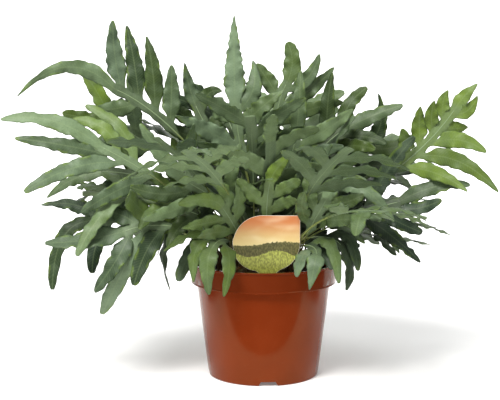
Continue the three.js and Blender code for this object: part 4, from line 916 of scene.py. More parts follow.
# young fronds that the front view shows between the label and the large fronds, in the same form,
# after the place in the peat that each comes from
YOUNG = [
    ("young_left_of_label", (-20, -50, 138), 36, (-34, -62, 200), (-50, -80, 226), (0, -1, 0.6), 0.5, 5, [
        (0, 0, -104, -98, 232, 15), (4, 1, -74, -92, 262, 14), (3, -1, -98, -104, 206, 14),
        (2, 1, -34, -92, 256, 15), (1, -1, -78, -102, 196, 14)]),
    ("young_above_label", (4, -46, 138), 50, (2, -60, 232), (8, -68, 256), (0.1, -1, 0.5), 0.56, 5, [
        (0, 0, 30, -84, 288, 14), (4, -1, -14, -84, 290, 13), (3, 1, 44, -90, 262, 14),
        (2, -1, -32, -88, 262, 14), (1, 1, 40, -92, 238, 12)]),
    ("young_right_of_label", (44, -42, 138), 40, (62, -56, 210), (76, -62, 236), (0.2, -1, 0.5), 0.54, 5, [
        (0, 0, 96, -84, 268, 15), (4, 1, 122, -84, 244, 14), (3, -1, 54, -84, 272, 14),
        (2, 1, 112, -90, 216, 14), (1, -1, 50, -84, 249, 12)]),
    ("young_far_left", (-52, -14, 138), 34, (-96, -36, 210), (-124, -50, 226), (-0.2, -1, 0.5), 0.56, 5, [
        (0, 0, -186, -78, 236, 15), (4, 1, -160, -70, 268, 15), (3, -1, -168, -84, 204, 15),
        (2, 1, -120, -66, 268, 15), (1, -1, -128, -84, 190, 14)]),
]

# what the front view shows of each frond's colour: (pale, yellow, how deep the margin is scalloped)
LOOKS = {
    "frond_left_hand": (0.72, 0.06, 0.1), "frond_upper_left": (0.14, 0.0, 0.08),
    "frond_spike": (0.9, 0.04, 0.24), "frond_top_right": (0.66, 0.16, 0.08),
    "frond_top_front": (0.82, 0.1, 0.08), "frond_right_mid": (0.1, 0.2, 0.1),
    "frond_right_hero": (0.4, 0.9, 0.05), "frond_right_low": (0.02, 0.0, 0.12),
    "frond_right_inner": (0.66, 0.14, 0.1), "frond_left_low": (0.5, 0.06, 0.07),
    "frond_left_dark": (0.02, 0.02, 0.1), "frond_left_behind": (0.12, 0.04, 0.1),
    "frond_rim_left": (0.55, 0.5, 0.08), "frond_rim_right": (0.42, 0.04, 0.06),
    "frond_middle_left": (0.74, 0.16, 0.1), "frond_left_inner": (0.35, 0.3, 0.1),
    "frond_left_top_back": (0.1, 0.1, 0.08), "frond_top_back": (0.08, 0.06, 0.08),
    "frond_right_back": (0.04, 0.12, 0.08), "frond_inner_left": (0.2, 0.06, 0.08),
    "frond_inner_middle": (0.4, 0.6, 0.08), "frond_inner_right": (0.2, 0.2, 0.08),
    "frond_middle_front": (0.9, 0.26, 0.12), "frond_middle_right": (1.0, 0.14, 0.1),
    "frond_middle_low": (0.8, 0.5, 0.1), "frond_rim_far_left": (0.15, 0.04, 0.08),
    "young_left_of_label": (0.5, 0.6, 0.12), "young_above_label": (0.6, 0.95, 0.12),
    "young_right_of_label": (0.7, 0.2, 0.12), "young_far_left": (0.7, 0.6, 0.12),
    "frond_right_hang": (0.3, 0.04, 0.08),
}

# how pointed the lobes of some fronds are, from 0, a blunt strap, to 1, a long point; others vary
TIPS = {"frond_upper_left": 0.75, "frond_spike": 1.0, "frond_right_hero": 0.75, "frond_left_hand": 0.35,
        "frond_top_front": 0.5, "frond_left_low": 0.2, "frond_rim_left": 0.55}
# how much broader than its solid's a lobe may be drawn, since the solids keep clear of each other
BROADER = {"frond_rim_left": 1.3, "frond_rim_right": 1.35, "frond_left_low": 1.38, "frond_spike": 1.3,
           "frond_upper_left": 1.28}
BROADER_ELSEWHERE = 1.13
USUAL_WIDTH = 20
YOUNG_LOBES = {("frond_left_top_back", 4)}

# the rest of the crown, in tiers: share of the fronds, elevation, length, steps, lobe length, droop
TIERS = ((0.2, 72, 215, 6, 90, 0.1), (0.5, 50, 215, 6, 88, 0.2),
         (0.76, 30, 190, 5, 84, 0.3), (1, 48, 125, 4, 74, 0.22))
CROWN_COUNT = 27
GOLDEN = 137.5
STALK_FOOT, STALK_TOP = 1.45, 1.05
BLADE_HALF = 0.45
WING = 6.5
LOBE_WIDTH = 18.5
RUFFLE = 2.4
SCALLOP = 0.07
RIB_SHIFTS = (0, 8, -8, 16, -16, 24, -24, 32, -32)
TURNS = [(turn, share) for share in (1, 0.86, 0.72)
         for turn in (0, 6, -6, 12, -12, 18, -18, 25, -25, 33, -33, 42, -42)]
BENDS = [(share, bend) for share in (1, 0.86, 0.72, 0.58)
         for bend in (0, 8, -8, 16, -16, 24, -24, 34, -34, 46, -46)]
DEPTH = np.array([0.0, 1.0, 0.0])
MATCH = 0.06  # how near to the drawn course the solid's corners lie, in millimetres
SEEDS = {"shown": (100, 17), "crown": (1000, 31), "young": (700, 19), "inner": (5000, 37)}
HIGH_END, LEAN_LOW, LEAN_HIGH = 230, 0.4, 0.24  # how far out towards its end a frond looks for its seat


def seed_of(kind, index):
    first, step = SEEDS[kind]
    return first + index * step


class Rib:
    """A cubic curve with its length measured, so that stations lie at even steps."""
    samples = 60

    def __init__(self, start, rise, bend, end):
        self.handles = np.array([start, start + UP * rise, bend, end], float)
        along = self.at(np.linspace(0, 1, self.samples + 1))
        steps = np.linalg.norm(np.diff(along, axis=0), axis=1)
        self.lengths = np.concatenate([[0], np.cumsum(steps)])
        self.total = self.lengths[-1]

    def at(self, t):
        t = np.atleast_1d(t)[:, None]
        a, b, c, d = self.handles
        return (1 - t) ** 3 * a + 3 * (1 - t) ** 2 * t * b + 3 * (1 - t) * t * t * c + t ** 3 * d

    def frame(self, fraction, face):
        """Place, forward, across and upper normal at a fraction of the length."""
        target = fraction * self.total
        k = int(np.clip(np.searchsorted(self.lengths, target), 1, self.samples))
        share = (target - self.lengths[k - 1]) / (self.lengths[k] - self.lengths[k - 1])
        t = (k - 1 + share) / self.samples
        a, b, c, d = self.handles
        forward = unit((1 - t) ** 2 * (b - a) + 2 * (1 - t) * t * (c - b) + t * t * (d - c))
        across = unit(np.cross(forward, face))
        return self.at(t)[0], forward, across, unit(np.cross(across, forward))


class Seats:
    """The places on the rhizome that stalks grow from; each frond takes the free one nearest its lean."""

    def __init__(self):
        self.places = []
        for arm in range(ARM_COUNT):
            for k in range(SEATS_PER_ARM):
                distance = SEAT_FIRST + k * SEAT_STEP
                here, _, across, _ = arm_frame(arm, distance)
                here = here + across * SEAT_SIDE * (1 if k % 2 == 0 else -1)
                here[2] += math.sqrt(arm_radius(distance) ** 2 - SEAT_SIDE ** 2) - SEAT_SINK
                self.places.append(here)
        self.free = [True] * len(self.places)

    def take(self, end):
        outward = LEAN_LOW if end[2] < HIGH_END else LEAN_HIGH
        gaps = [math.hypot(*(place[:2] - end[:2] * outward)) if free else math.inf
                for place, free in zip(self.places, self.free)]
        best = int(np.argmin(gaps))
        self.free[best] = False
        return self.places[best]


def node_points(name):
    """The solid's corners in millimetres."""
    return np.array([vertex.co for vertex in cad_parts[name].data.vertices]) / MM


def nearest(points, place):
    return float(np.min(np.linalg.norm(points - place, axis=1)))


class Frond:
    """One frond's rib and lobes, settled to the course that its solid takes."""

    def __init__(self, name, seat, start, steps, seed, give=None):
        self.name, self.seat, self.start = name, seat, start
        self.steps, self.seed, self.give = steps, seed, give
        self.rib = self.face = None
        self.lobes = []

    def station(self, step):
        return self.start + (1 - self.start) * step / self.steps

    def fits(self, rib, face, corners):
        """Whether the solid has a corner where this rib would put the edge of its blade."""
        for step in (1, self.steps):
            place, _, across, normal = rib.frame(self.station(step), face)
            if nearest(corners, place + across * WING + normal * BLADE_HALF) > MATCH:
                return False
        return True

    def lobe_start(self, entry, seed):
        """The lobe's place on the rib, the way it leaves and how it lies."""
        step, side, x, y, z, width, *rest = entry
        middle = 1 if side == 0 else self.station(step + 0.5)
        place, forward, across, normal = self.rib.frame(middle, self.face)
        if side != 0:
            forward = unit(forward * 0.62 + across * side * 0.78)
        return {
            "step": step, "side": side, "base": place + across * side * (WING if side else 0),
            "forward": forward, "normal": normal, "width": width, "seed": seed,
            "tip": np.array([x, y, z], float), "give": normal if self.give is None else self.give,
            "arch": rest[0] if rest else 0, "lift": 0.06 + spread(seed + 0.3, 0.05),
            "twist": spread(seed + 0.7, 0.7), "waves": 2.4 + draw(seed + 1.1) * 1.2,
            "phase": draw(seed + 1.9) * 2 * math.pi,
        }

    @staticmethod
    def bent(lobe, share, bend):
        """The lobe with its curve, at a share of its length and bent aside."""
        tip = mix(lobe["base"], lobe["tip"], share) + lobe["give"] * bend
        length = float(np.linalg.norm(tip - lobe["base"]))
        middle = (lobe["base"] + lobe["forward"] * length * 0.5 + lobe["normal"] * length * lobe["lift"]
                  + UP * lobe["arch"] + lobe["give"] * bend * 0.4)
        return {**lobe, "curve": (lobe["base"], middle, tip), "length": length}

    def settle(self, courses, corners):
        """Takes the first course of the rib, with the way it faces, that the solid has."""
        for rib, face in courses:
            if self.fits(rib, face, corners):
                self.rib, self.face = rib, face
                return
        raise RuntimeError(f"{self.name}: no course of the rib fits its solid")

    def grow(self, wanted, suits):
        """Gives each lobe the first bend that suits it; a lobe that none suits is left out."""
        for k, entry in enumerate(wanted):
            lobe = self.lobe_start(entry, self.seed + entry[0] + k)
            choices = (self.bent(lobe, share, bend) for share, bend in BENDS)
            found = next((bent for bent in choices if suits(bent)), None)
            if found:
                self.lobes.append(found)
        return self

    def grow_on_solid(self, wanted, corners):
        """Grows the lobes to where the solid's own lobes end."""
        return self.grow(wanted, lambda bent: abs(nearest(corners, bent["curve"][2]) - BLADE_HALF) < MATCH)


def crown_lobes(frond, lobe_length, droop):
    """The lobes of a crown frond: alternate sides, longest at the end."""
    lobes = []
    first = 1 if draw(frond.seed + 5) < 0.5 else -1
    for step in range(frond.steps, -1, -1):
        last = step == frond.steps
        side = 0 if last else first * (1 if step % 2 == 0 else -1)
        start = frond.lobe_start((step, side, 0, 0, 0, LOBE_WIDTH), frond.seed + step)
        length = lobe_length * (1.1 if last else mix(0.84, 1.04, step / frond.steps))
        length += spread(frond.seed + 40 + step, 10)
        drop = length * (droop + spread(frond.seed + 50 + step, 0.12))
        tip = start["base"] + start["forward"] * length - UP * drop
        lobes.append((step, side, *tip, LOBE_WIDTH + spread(frond.seed + 60 + step, 2)))
    return lobes


def directions(degrees):
    """Outwards at this angle, and sideways to it."""
    angle = math.radians(degrees)
    return (np.array([math.cos(angle), math.sin(angle), 0.0]),
            np.array([-math.sin(angle), math.cos(angle), 0.0]))


def grow_shown(entry, index, seats):
    """A frond of the front view, along its solid."""
    name, rise, bend, end, face, start, steps, lobes = entry
    corners = node_points(name)
    end = np.array(end, float)
    frond = Frond(name, seats.take(end), start, steps, seed_of("shown", index), DEPTH)
    face = unit(np.array(face, float))
    bends = (np.array(bend, float) + DEPTH * shift for shift in RIB_SHIFTS)
    frond.settle(((Rib(frond.seat, rise, moved, end), face) for moved in bends), corners)
    return frond.grow_on_solid(lobes, corners)


def grow_crown(index, seats):
    """A crown frond, or None where the crown has no room for it and the frame has no such solid."""
    seed = seed_of("crown", index)
    tier = next(t for t in TIERS if (index + 0.5) / CROWN_COUNT < t[0])
    _, tier_elevation, tier_length, steps, lobe_length, droop = tier
    azimuth = index * GOLDEN + spread(seed, 12)
    elevation = math.radians(tier_elevation + spread(seed + 1, 7))
    length = tier_length + spread(seed + 2, 16)
    aim = math.radians(azimuth)
    flat, rise = math.cos(elevation), math.sin(elevation)
    seat_end = np.array([math.cos(aim) * length * flat, math.sin(aim) * length * flat,
                         SOIL_TOP + length * rise])
    name = f"frond_crown_{index + 1:02d}"
    frond = Frond(name, seats.take(seat_end), 0.56 + spread(seed + 3, 0.04), steps, seed)
    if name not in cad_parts:
        return None

    def courses():
        for turn, share in TURNS:
            outward, sideways = directions(azimuth + turn)
            reach = length * share
            end = frond.seat + outward * reach * flat + UP * reach * rise
            bend = (frond.seat + outward * reach * (0.62 * flat - 0.05)
                    + UP * reach * (0.62 * rise + 0.22 * flat))
            face = unit(UP - outward * 0.9 + sideways * spread(seed + 4, 0.5))
            yield Rib(frond.seat, 40 + 50 * share * rise, bend, end), face

    corners = node_points(name)
    frond.settle(courses(), corners)
    return frond.grow_on_solid(crown_lobes(frond, lobe_length, droop), corners)


# ---------------------------------------------------------------------------------------------
# Fronds: their surface
# ---------------------------------------------------------------------------------------------
SUBSTEPS = 5  # rows of the blade along one step of the rib, and faces across a lobe
COLUMNS = np.array([1.0, 0.52, 0.13, -0.13, -0.52, -1.0])  # across a lobe, closer beside its midrib
ROW_SPACING = 3.1
LOBE_FRAMES = 20
LEAD_ROWS = 3  # rows of the strip before the blade's first step
STEP_LENGTH = 16.0  # what a step of the rib counts for in the veins' pattern, in millimetres
TIP_CLOSES = 0.985
THIN, FULL = 0.45, 1.0  # shares of the blade's thickness, at a margin and elsewhere
TIP_HALF = 0.7  # half the least width of a lobe, in millimetres
LOBE_OPENS = 0.24  # the share of a lobe over which it widens from the rib's strip
RIPPLE_LENGTH, RIPPLE_LONGER, RIPPLE_HEIGHTS = 10, 5, (9, 26)
TONE_SPREAD = 0.5
YELLOW_FROM = 0.91  # the draw from which a single lobe is yellow
YOUNG_PAINTED_SHADE = 0.15  # how little of the painted shade the young fronds of the front view take
PAINTED_SHADE_BY_TONE = (1.25, 0.35)  # a dark-toned lobe takes more of the painted shade than a pale one


def lobe_profile(t, pointed, last):
    """The lobe's share of its width along it: a strap that ends bluntly, or a lance that ends in a point.

    The last lobe of a frond runs on from the blade and is as broad at its foot as anywhere.
    """
    swell = 0.8 + 0.2 * np.sin(math.pi * np.minimum(1, 0.12 + t))
    closing = np.clip((t - 0.8) / 0.2, 0, 1)
    strap = swell * (1.06 - 0.22 * t) * np.sqrt(np.maximum(0, 1 - closing ** 2))
    begins = 0.42 if last else 0.2
    lance = 1.08 * np.sin(math.pi * np.minimum(1, begins + (1 - begins) * t) ** 0.85) ** 0.8
    return mix(strap, np.maximum(0, lance) * (1 - 0.25 * t), pointed)


class BladeSheet:
    """A frond's blade while it is laid out: points, faces, and what the leaf's material reads."""
    NAMES = ("across", "along", "margin", "reach", "tone", "yellow", "heart")

    # the share of the crown's painted shade that this blade takes
    def __init__(self, shade_weight):
        self.shade_weight = shade_weight
        self.points, self.faces, self.body = [], [], []
        self.data = {name: [] for name in self.NAMES}

    def add(self, place, body, **values):
        self.points.append(place)
        self.body.append(body)
        # painted shade: deeper inside the crown and on darker lobes
        values["heart"] = min(1.0, painted_shade_share(place) * self.shade_weight * mix(*PAINTED_SHADE_BY_TONE, values["tone"]))
        for name in self.NAMES:
            self.data[name].append(values[name])
        return len(self.points) - 1


# the crown's middle, for where young fronds may grow and where the painted shade is deepest; it sits right of
# the pot's axis, so the right side takes more painted shade
HEART = np.array([22.0, 10.0, 150.0])
CROWN_REACH = np.array([290.0, 240.0, 290.0])
SHADE_REACH = np.array([290.0, 175.0, 290.0])


def painted_shade_share(place):
    """How much painted shade a point takes: 1 deep inside the crown and 0 at its outside."""
    return float(1 - smooth_step(0.3, 0.85, np.linalg.norm((place - HEART) / SHADE_REACH)))


def lobe_frames(lobe):
    """Places, directions and upper normals along the lobe's middle line."""
    base, middle, tip = lobe["curve"]
    normal = lobe["normal"]
    frames = []
    for k in range(LOBE_FRAMES + 1):
        t = k / LOBE_FRAMES
        place = (1 - t) ** 2 * base + 2 * (1 - t) * t * middle + t * t * tip
        forward = unit((1 - t) * (middle - base) + t * (tip - middle))
        normal = unit(normal - forward * np.dot(normal, forward))
        frames.append((place, forward, normal))
    return frames


def turned_about(vector, axis, angle):
    return (vector * math.cos(angle) + np.cross(axis, vector) * math.sin(angle)
            + axis * np.dot(axis, vector) * (1 - math.cos(angle)))


def lay_lobe(sheet, frond, lobe, edge_points, look):
    """Lays a lobe's rows from the edge of the rib's strip to the lobe's tip."""
    pale, yellow, crimp = look
    seed = lobe["seed"]
    frames = lobe_frames(lobe)
    length = lobe["length"]
    rows = max(8, int(round(length / ROW_SPACING)))
    pointed = draw(seed + 2.3) ** 1.2
    if frond.name in TIPS:
        pointed = min(1, max(0, TIPS[frond.name] + spread(seed + 2.3, 0.2)))
    ripple = RIPPLE_LENGTH + RIPPLE_LONGER * draw(seed + 2.9)
    ripple_height = mix(*RIPPLE_HEIGHTS, draw(seed + 3.7)) * crimp
    keel = 0.1 + spread(seed + 6.1, 0.2)
    tone = float(np.clip(pale + spread(seed + 4.1, TONE_SPREAD), 0, 1))
    lobe_yellow = yellow * mix(0.6, 1.25, draw(seed + 4.9)) + 0.42 * draw(seed + 5.7) ** 2
    lobe_yellow = float(np.clip(lobe_yellow + (0.55 if draw(seed + 5.3) > YELLOW_FROM else 0), 0, 1))
    width = mix(lobe["width"], USUAL_WIDTH, 0.5) * BROADER.get(frond.name, BROADER_ELSEWHERE)
    if (frond.name, lobe["step"]) in YOUNG_LOBES:
        tone, lobe_yellow = 0.6, 1.0
    base = np.array([sheet.points[k] for k in edge_points])
    previous = edge_points
    for row in range(1, rows + 1):
        t = row / rows * TIP_CLOSES
        position = t * LOBE_FRAMES
        k = min(int(position), LOBE_FRAMES - 1)
        share = position - k
        place, forward, flat = (mix(a, b, share) for a, b in zip(frames[k], frames[k + 1]))
        forward = unit(forward)
        normal = turned_about(unit(flat), forward, lobe["twist"] * t * t)
        across = unit(np.cross(forward, normal))
        waves = lobe["waves"] * t * 2 * math.pi + lobe["phase"]
        half = max(TIP_HALF, float(lobe_profile(t, pointed, lobe["side"] == 0)) * width / 2)
        opening = 1 - smooth_step(0.0, LOBE_OPENS, t)
        current = []
        for column, side in enumerate(COLUMNS):
            drawn = abs(side)
            scallop = 1 + SCALLOP * math.sin(2 * waves + side)
            ripple_phase = 2 * math.pi * t * length / ripple + lobe["phase"] + (0 if side > 0 else 1.9)
            ripple_phase += 1.6 * math.sin(7 * t + seed * side)
            strength = 0.6 + 0.4 * math.sin(9 * t + seed * 1.7 + side)
            scallop += crimp * math.sin(ripple_phase * 1.35) * drawn * min(1, 4 * t) * mix(1, strength, 0.6)
            rise = RUFFLE * math.sin(waves + (0 if side > 0 else 2.1)) * side * side * min(1, 3 * (1 - t))
            ripples = ripple_height * strength * math.sin(ripple_phase) * drawn ** 3
            rise += ripples * min(1, 5 * t) * min(1, 5 * (1 - t))
            groove = -0.2 * (1 - smooth_step(0.1, 0.5, drawn))
            lifted = rise - keel * drawn * half * min(1, 4 * t) + groove
            spot = place + across * side * half * scallop + normal * lifted
            if opening > 0:
                spot = mix(spot, base[column] + (place - lobe["curve"][0]), opening)
            margin = (1 - drawn) * half + 8 * float(opening) * (1 if drawn == 1 and t < 0.06 else 0)
            current.append(sheet.add(spot, THIN if drawn == 1 else FULL, across=side * half, along=t * length,
                                     margin=margin, reach=WING + t * length, tone=tone, yellow=lobe_yellow))
        for column in range(SUBSTEPS):
            sheet.faces.append((previous[column], current[column], current[column + 1], previous[column + 1]))
        previous = current


def lay_blade(frond, look):
    """The frond's blade as one sheet: the strip along the rib, then a lobe on each of its edges."""
    pale, yellow, _ = look
    sheet = BladeSheet(YOUNG_PAINTED_SHADE if frond.name in LOOKS and frond.name.startswith("young") else 1.0)
    taken = {(lobe["step"], lobe["side"]) for lobe in frond.lobes}
    rows = []
    for k in range(-LEAD_ROWS, frond.steps * SUBSTEPS + 1):
        step = k / SUBSTEPS
        place, forward, across, normal = frond.rib.frame(min(1, frond.station(step)), frond.face)
        half = WING * float(mix(0.5, 1.0, min(1, max(0, step))))
        half *= float(smooth_step(-LEAD_ROWS / SUBSTEPS - 0.1, 0.1, step))
        row = []
        for side in -COLUMNS:
            hit = (min(int(max(step, 0)), frond.steps - 1), 1 if side > 0 else -1) in taken
            wander = 0 if hit else 0.7 * math.sin(step * 4.1 + frond.seed + side)
            reach = abs(side) * half
            spot = place + across * side * (half + wander * abs(side)) + normal * (-0.1 * reach)
            margin = 6.0 if hit else (1 - abs(side)) * half
            row.append(sheet.add(spot, THIN if abs(side) == 1 and not hit else FULL, across=side * half,
                                 along=step * STEP_LENGTH, margin=margin, reach=reach, tone=pale,
                                 yellow=yellow * 0.7))
        rows.append(row)
    for near, far in zip(rows, rows[1:]):
        for column in range(SUBSTEPS):
            sheet.faces.append((near[column], near[column + 1], far[column + 1], far[column]))
    for lobe in frond.lobes:
        edge = rows[-1]
        if lobe["side"]:
            first = LEAD_ROWS + lobe["step"] * SUBSTEPS
            column = SUBSTEPS if lobe["side"] > 0 else 0
            edge = [row[column] for row in rows[first:first + SUBSTEPS + 1]]
        lay_lobe(sheet, frond, lobe, edge if lobe["side"] > 0 else edge[::-1], look)
    return sheet


STALK_SIDES, STALK_STATIONS = 10, 56


def lay_stalk(frond):
    """The stalk as a tapering tube that runs on under the blade as its raised rib."""
    points, along, blade = [], [], []
    for k in range(STALK_STATIONS + 1):
        fraction = mix(0.0, 0.985, k / STALK_STATIONS)
        place, forward, across, normal = frond.rib.frame(fraction, frond.face)
        share = fraction / frond.start
        radius = mix(STALK_FOOT, STALK_TOP, min(1, share)) * 0.98
        if share > 1:
            radius = mix(STALK_TOP * 0.98, 0.42, (fraction - frond.start) / (1 - frond.start))
        flare = 1 + 0.35 * max(0, 1 - fraction * frond.rib.total / 9)
        for side in range(STALK_SIDES):
            angle = 2 * math.pi * side / STALK_SIDES
            points.append(place + (across * math.cos(angle) + normal * math.sin(angle)) * radius * flare)
            along.append(fraction * frond.rib.total)
            blade.append(float(smooth_step(0.92, 1.1, share)))
    foot = [point - UP * SEAT_DEPTH for point in points[:STALK_SIDES]]
    level = [0.0] * STALK_SIDES
    return [*foot, *points], {"along": [*level, *along], "blade": [*level, *blade]}


STALK_FACES = tube_faces(STALK_STATIONS + 2, STALK_SIDES)


MOST_CROSSINGS, FEWEST_LOBES = 3, 3
# how far a young frond keeps from all that has grown: its strip, its stalk, and its lobes by its kind
STRIP_CLEAR, STALK_CLEAR, INNER_CLEAR, YOUNG_CLEAR = 4.0, 3.0, 2.8, 2.4
CROWN_SHARE = 0.86
# a young frond's elevation, length, the way out to its foot and its lobes' length, each least and most
INNER_RISE, INNER_LENGTH, INNER_FOOT, INNER_LOBES = (16, 74), (95, 205), (12, 62), (52, 78)
INNER_STEPS, INNER_DROOP, INNER_TURNS = 4, 0.15, (0, 9, -9, 18, -18, 27, -27)
# the space in front of the label, from above the peat to over its top, that is kept open
OPEN_FRONT, OPEN_LEFT, OPEN_RIGHT, OPEN_TOP = -58, -72, 88, 236


class Thicket:
    """The points and blades of all that has grown, to tell where another blade still has room."""

    def __init__(self):
        self.points = []
        self.tree = None
        self.faces_of = []

    def crossings(self, faces):
        """How many of these faces cut through what has grown."""
        return sum(len(faces.overlap(others)) for others in self.faces_of)

    def take_in(self, points):
        self.points.extend(points)
        self.tree = None

    def gap(self, point):
        """The distance to the nearest point that has grown."""
        if self.tree is None:
            self.tree = KDTree(len(self.points))
            for index, grown in enumerate(self.points):
                self.tree.insert(grown, index)
            self.tree.balance()
        return self.tree.find(point)[2]

    def is_clear(self, points, clear):
        return all(self.gap(point) > clear for point in points)

    def has_room(self, points, clear):
        return all(self.gap(point) > clear and self.is_open(point) for point in points)

    @staticmethod
    def is_open(point):
        """Inside the crown, above the peat and the rim, and not in front of the label."""
        x, y, z = point
        inside = np.linalg.norm((point - HEART) / CROWN_REACH) < CROWN_SHARE
        above = z > (SOIL_TOP + 10 if math.hypot(x, y) < RIM_RADIUS - 8 else POT_HEIGHT + 12)
        return inside and above and not (y < OPEN_FRONT and OPEN_LEFT < x < OPEN_RIGHT and z < OPEN_TOP)


def all_faces(frond, sheet):
    """A frond's blade and stalk, to be tested against others."""
    first = len(sheet.points)
    faces = [*sheet.faces, *(tuple(first + k for k in face) for face in STALK_FACES)]
    return BVHTree.FromPolygons([tuple(point) for point in (*sheet.points, *lay_stalk(frond)[0])], faces)


def rib_points(frond, shares):
    """Points down the middle of the rib at these shares of its length."""
    return [frond.rib.frame(share, frond.face)[0] for share in shares]


def stalk_points(frond):
    """Points down the middle of the stalk, clear of the foot that its neighbours share."""
    return rib_points(frond, np.linspace(0.12, 1, 28) * frond.start)


def strip_points(frond):
    """Points down the middle of the blade's strip."""
    return rib_points(frond, np.linspace(frond.start, 1, 14))


def lobe_points(lobe):
    """Points along a lobe's middle and both its edges."""
    points = []
    for place, forward, normal in lobe_frames(lobe)[3::2]:
        sideways = np.cross(forward, normal) * lobe["width"] * 0.45
        points += [place, place + sideways, place - sideways]
    return points


def grow_inner(index, thicket):
    """A small frond that comes up between the others where there is still room, or None."""
    seed = seed_of("inner", index)
    azimuth = index * GOLDEN + spread(seed, 20)
    elevation = math.radians(mix(*INNER_RISE, draw(seed + 1)))
    length = mix(*INNER_LENGTH, draw(seed + 2) ** 0.8)
    flat, rise = math.cos(elevation), math.sin(elevation)
    for turn in INNER_TURNS:
        outward, sideways = directions(azimuth + turn)
        foot = outward * mix(*INNER_FOOT, draw(seed + 3)) * (0.4 + 0.6 * flat) + UP * (SOIL_TOP - 1)
        end = foot + outward * length * flat + UP * length * rise
        bend = foot + outward * length * (0.6 * flat - 0.05) + UP * length * (0.62 * rise + 0.25 * flat)
        name = f"young_frond_{index + 1:02d}"
        frond = Frond(name, foot, 0.5 + spread(seed + 4, 0.05), INNER_STEPS, seed)
        frond.face = unit(UP - outward * 0.9 + sideways * spread(seed + 5, 0.6))
        frond.rib = Rib(foot, 30 + 30 * rise, bend, end)
        if not all(map(thicket.is_open, strip_points(frond))) or not strip_and_stalk_clear(frond, thicket):
            continue
        lobes = crown_lobes(frond, mix(*INNER_LOBES, draw(seed + 6)), INNER_DROOP)
        frond.grow(lobes, lambda bent: thicket.has_room(lobe_points(bent), INNER_CLEAR))
        if len(frond.lobes) >= FEWEST_LOBES:
            return frond
    return None


def strip_and_stalk_clear(frond, thicket):
    """Whether the blade's strip and the stalk keep clear of all that has grown."""
    return (thicket.is_clear(strip_points(frond), STRIP_CLEAR)
            and thicket.is_clear(stalk_points(frond), STALK_CLEAR))


def grow_young(entry, index, thicket):
    """A young frond of the front view, shifted in depth to where it has most room."""
    name, foot, rise, bend, end, face, start, steps, lobes = entry
    frond = Frond(name, np.array(foot, float), start, steps, seed_of("young", index), DEPTH)
    frond.face = unit(np.array(face, float))
    for shift in RIB_SHIFTS:
        moved = DEPTH * shift
        frond.rib = Rib(frond.seat, rise, np.array(bend, float) + moved, np.array(end, float) + moved * 0.6)
        if strip_and_stalk_clear(frond, thicket):
            break
    else:
        return None
    frond.grow(lobes, lambda bent: thicket.is_clear(lobe_points(bent), YOUNG_CLEAR))
    return frond if len(frond.lobes) >= FEWEST_LOBES else None


def frond_part(name, points, faces, attributes, materials, material):
    """A smooth part of a frond, in one of the fronds' materials, with what that reads."""
    part = object_of(name, points, faces)
    for key, values in attributes.items():
        write_attribute(part, key, values)
    dress(part, *materials)
    for polygon in part.data.polygons:
        polygon.use_smooth = True
        polygon.material_index = material
    return part


def make_frond(frond, settings, materials, sheet):
    """The frond's piece: blade thickened and smoothed, then joined with its stalk."""
    blade = frond_part(frond.name + "_grown", sheet.points, sheet.faces, sheet.data, materials, 0)
    group = blade.vertex_groups.new(name="body")
    for weight in (THIN, FULL):
        group.add([k for k, body in enumerate(sheet.body) if body == weight], weight, "REPLACE")
    apply_modifier(blade, "SUBSURF", levels=1, render_levels=1)
    apply_modifier(blade, "SOLIDIFY", thickness=settings.thickness, offset=0, material_offset=1,
                   vertex_group="body", thickness_vertex_group=0.0)
    points, attributes = lay_stalk(frond)
    stalk = frond_part(frond.name + "_stalk", points, STALK_FACES, attributes, materials, 2)
    pick(blade, stalk)
    bpy.ops.object.join()
    blade.vertex_groups.clear()
    stand_for(blade, "blue_green_leaf", *({frond.name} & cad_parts.keys()))


# where a frond has no look of its own: its palest tone's start and reach, its yellow where the draw
# passes the fourth figure, its yellow elsewhere, and its crimp
GROWN_LOOK = (0.02, 0.4, 0.45, 0.86, 0.08, 0.08)
YOUNG_LOOK = (0.05, 0.7, 0.5, 0.8, 0.06, 0.1)


def look_of(frond, tone, reach, yellow, yellow_from, green, crimp):
    """Tone, yellow and crimp of a frond: its own, or else drawn."""
    yellow = yellow if draw(frond.seed + 8.3) > yellow_from else green
    return LOOKS.get(frond.name, (tone + reach * draw(frond.seed + 7.7), yellow, crimp))


class FERN_OT_fronds(bpy.types.Operator):
    """Grow every frond along its solid, with fine ruffled lobes, ribs and round stalks"""
    bl_idname = "fern.fronds"
    bl_label = "Fronds"

    def execute(self, context):
        settings = context.scene.fern_fronds
        seats = Seats()
        fronds = [grow_shown(entry, index, seats) for index, entry in enumerate(SHOWN)]
        fronds += [frond for frond in (grow_crown(index, seats) for index in range(CROWN_COUNT)) if frond]
        materials = (fern_blade(settings), fern_blade(settings, underside=True), fern_stalk(settings))
        thicket = Thicket()
        for frond in fronds:
            self.leaf_out(frond, GROWN_LOOK, settings, materials, thicket)
        thicket.take_in((x, LABEL_Y, z) for x in range(LABEL_LEFT, LABEL_RIGHT + 1, 4)
                        for z in range(LABEL_WAIST, LABEL_TOP + 1, 4))
        tries = [partial(grow_young, entry, index) for index, entry in enumerate(YOUNG)]
        tries += [partial(grow_inner, index) for index in range(settings.young_fronds)]
        for grow in tries:
            frond = grow(thicket)
            if frond:
                self.leaf_out(frond, YOUNG_LOOK, settings, materials, thicket, frond.name not in LOOKS)
        return {"FINISHED"}

    @staticmethod
    def leaf_out(frond, usual_look, settings, materials, thicket, may_fail=False):
        """Makes the frond's piece; one that may fail is left out where it cuts through too much."""
        sheet = lay_blade(frond, look_of(frond, *usual_look))
        faces = all_faces(frond, sheet)
        if may_fail and thicket.crossings(faces) > MOST_CROSSINGS:
            return
        thicket.faces_of.append(faces)
        thicket.take_in([*sheet.points, *stalk_points(frond)])
        make_frond(frond, settings, materials, sheet)


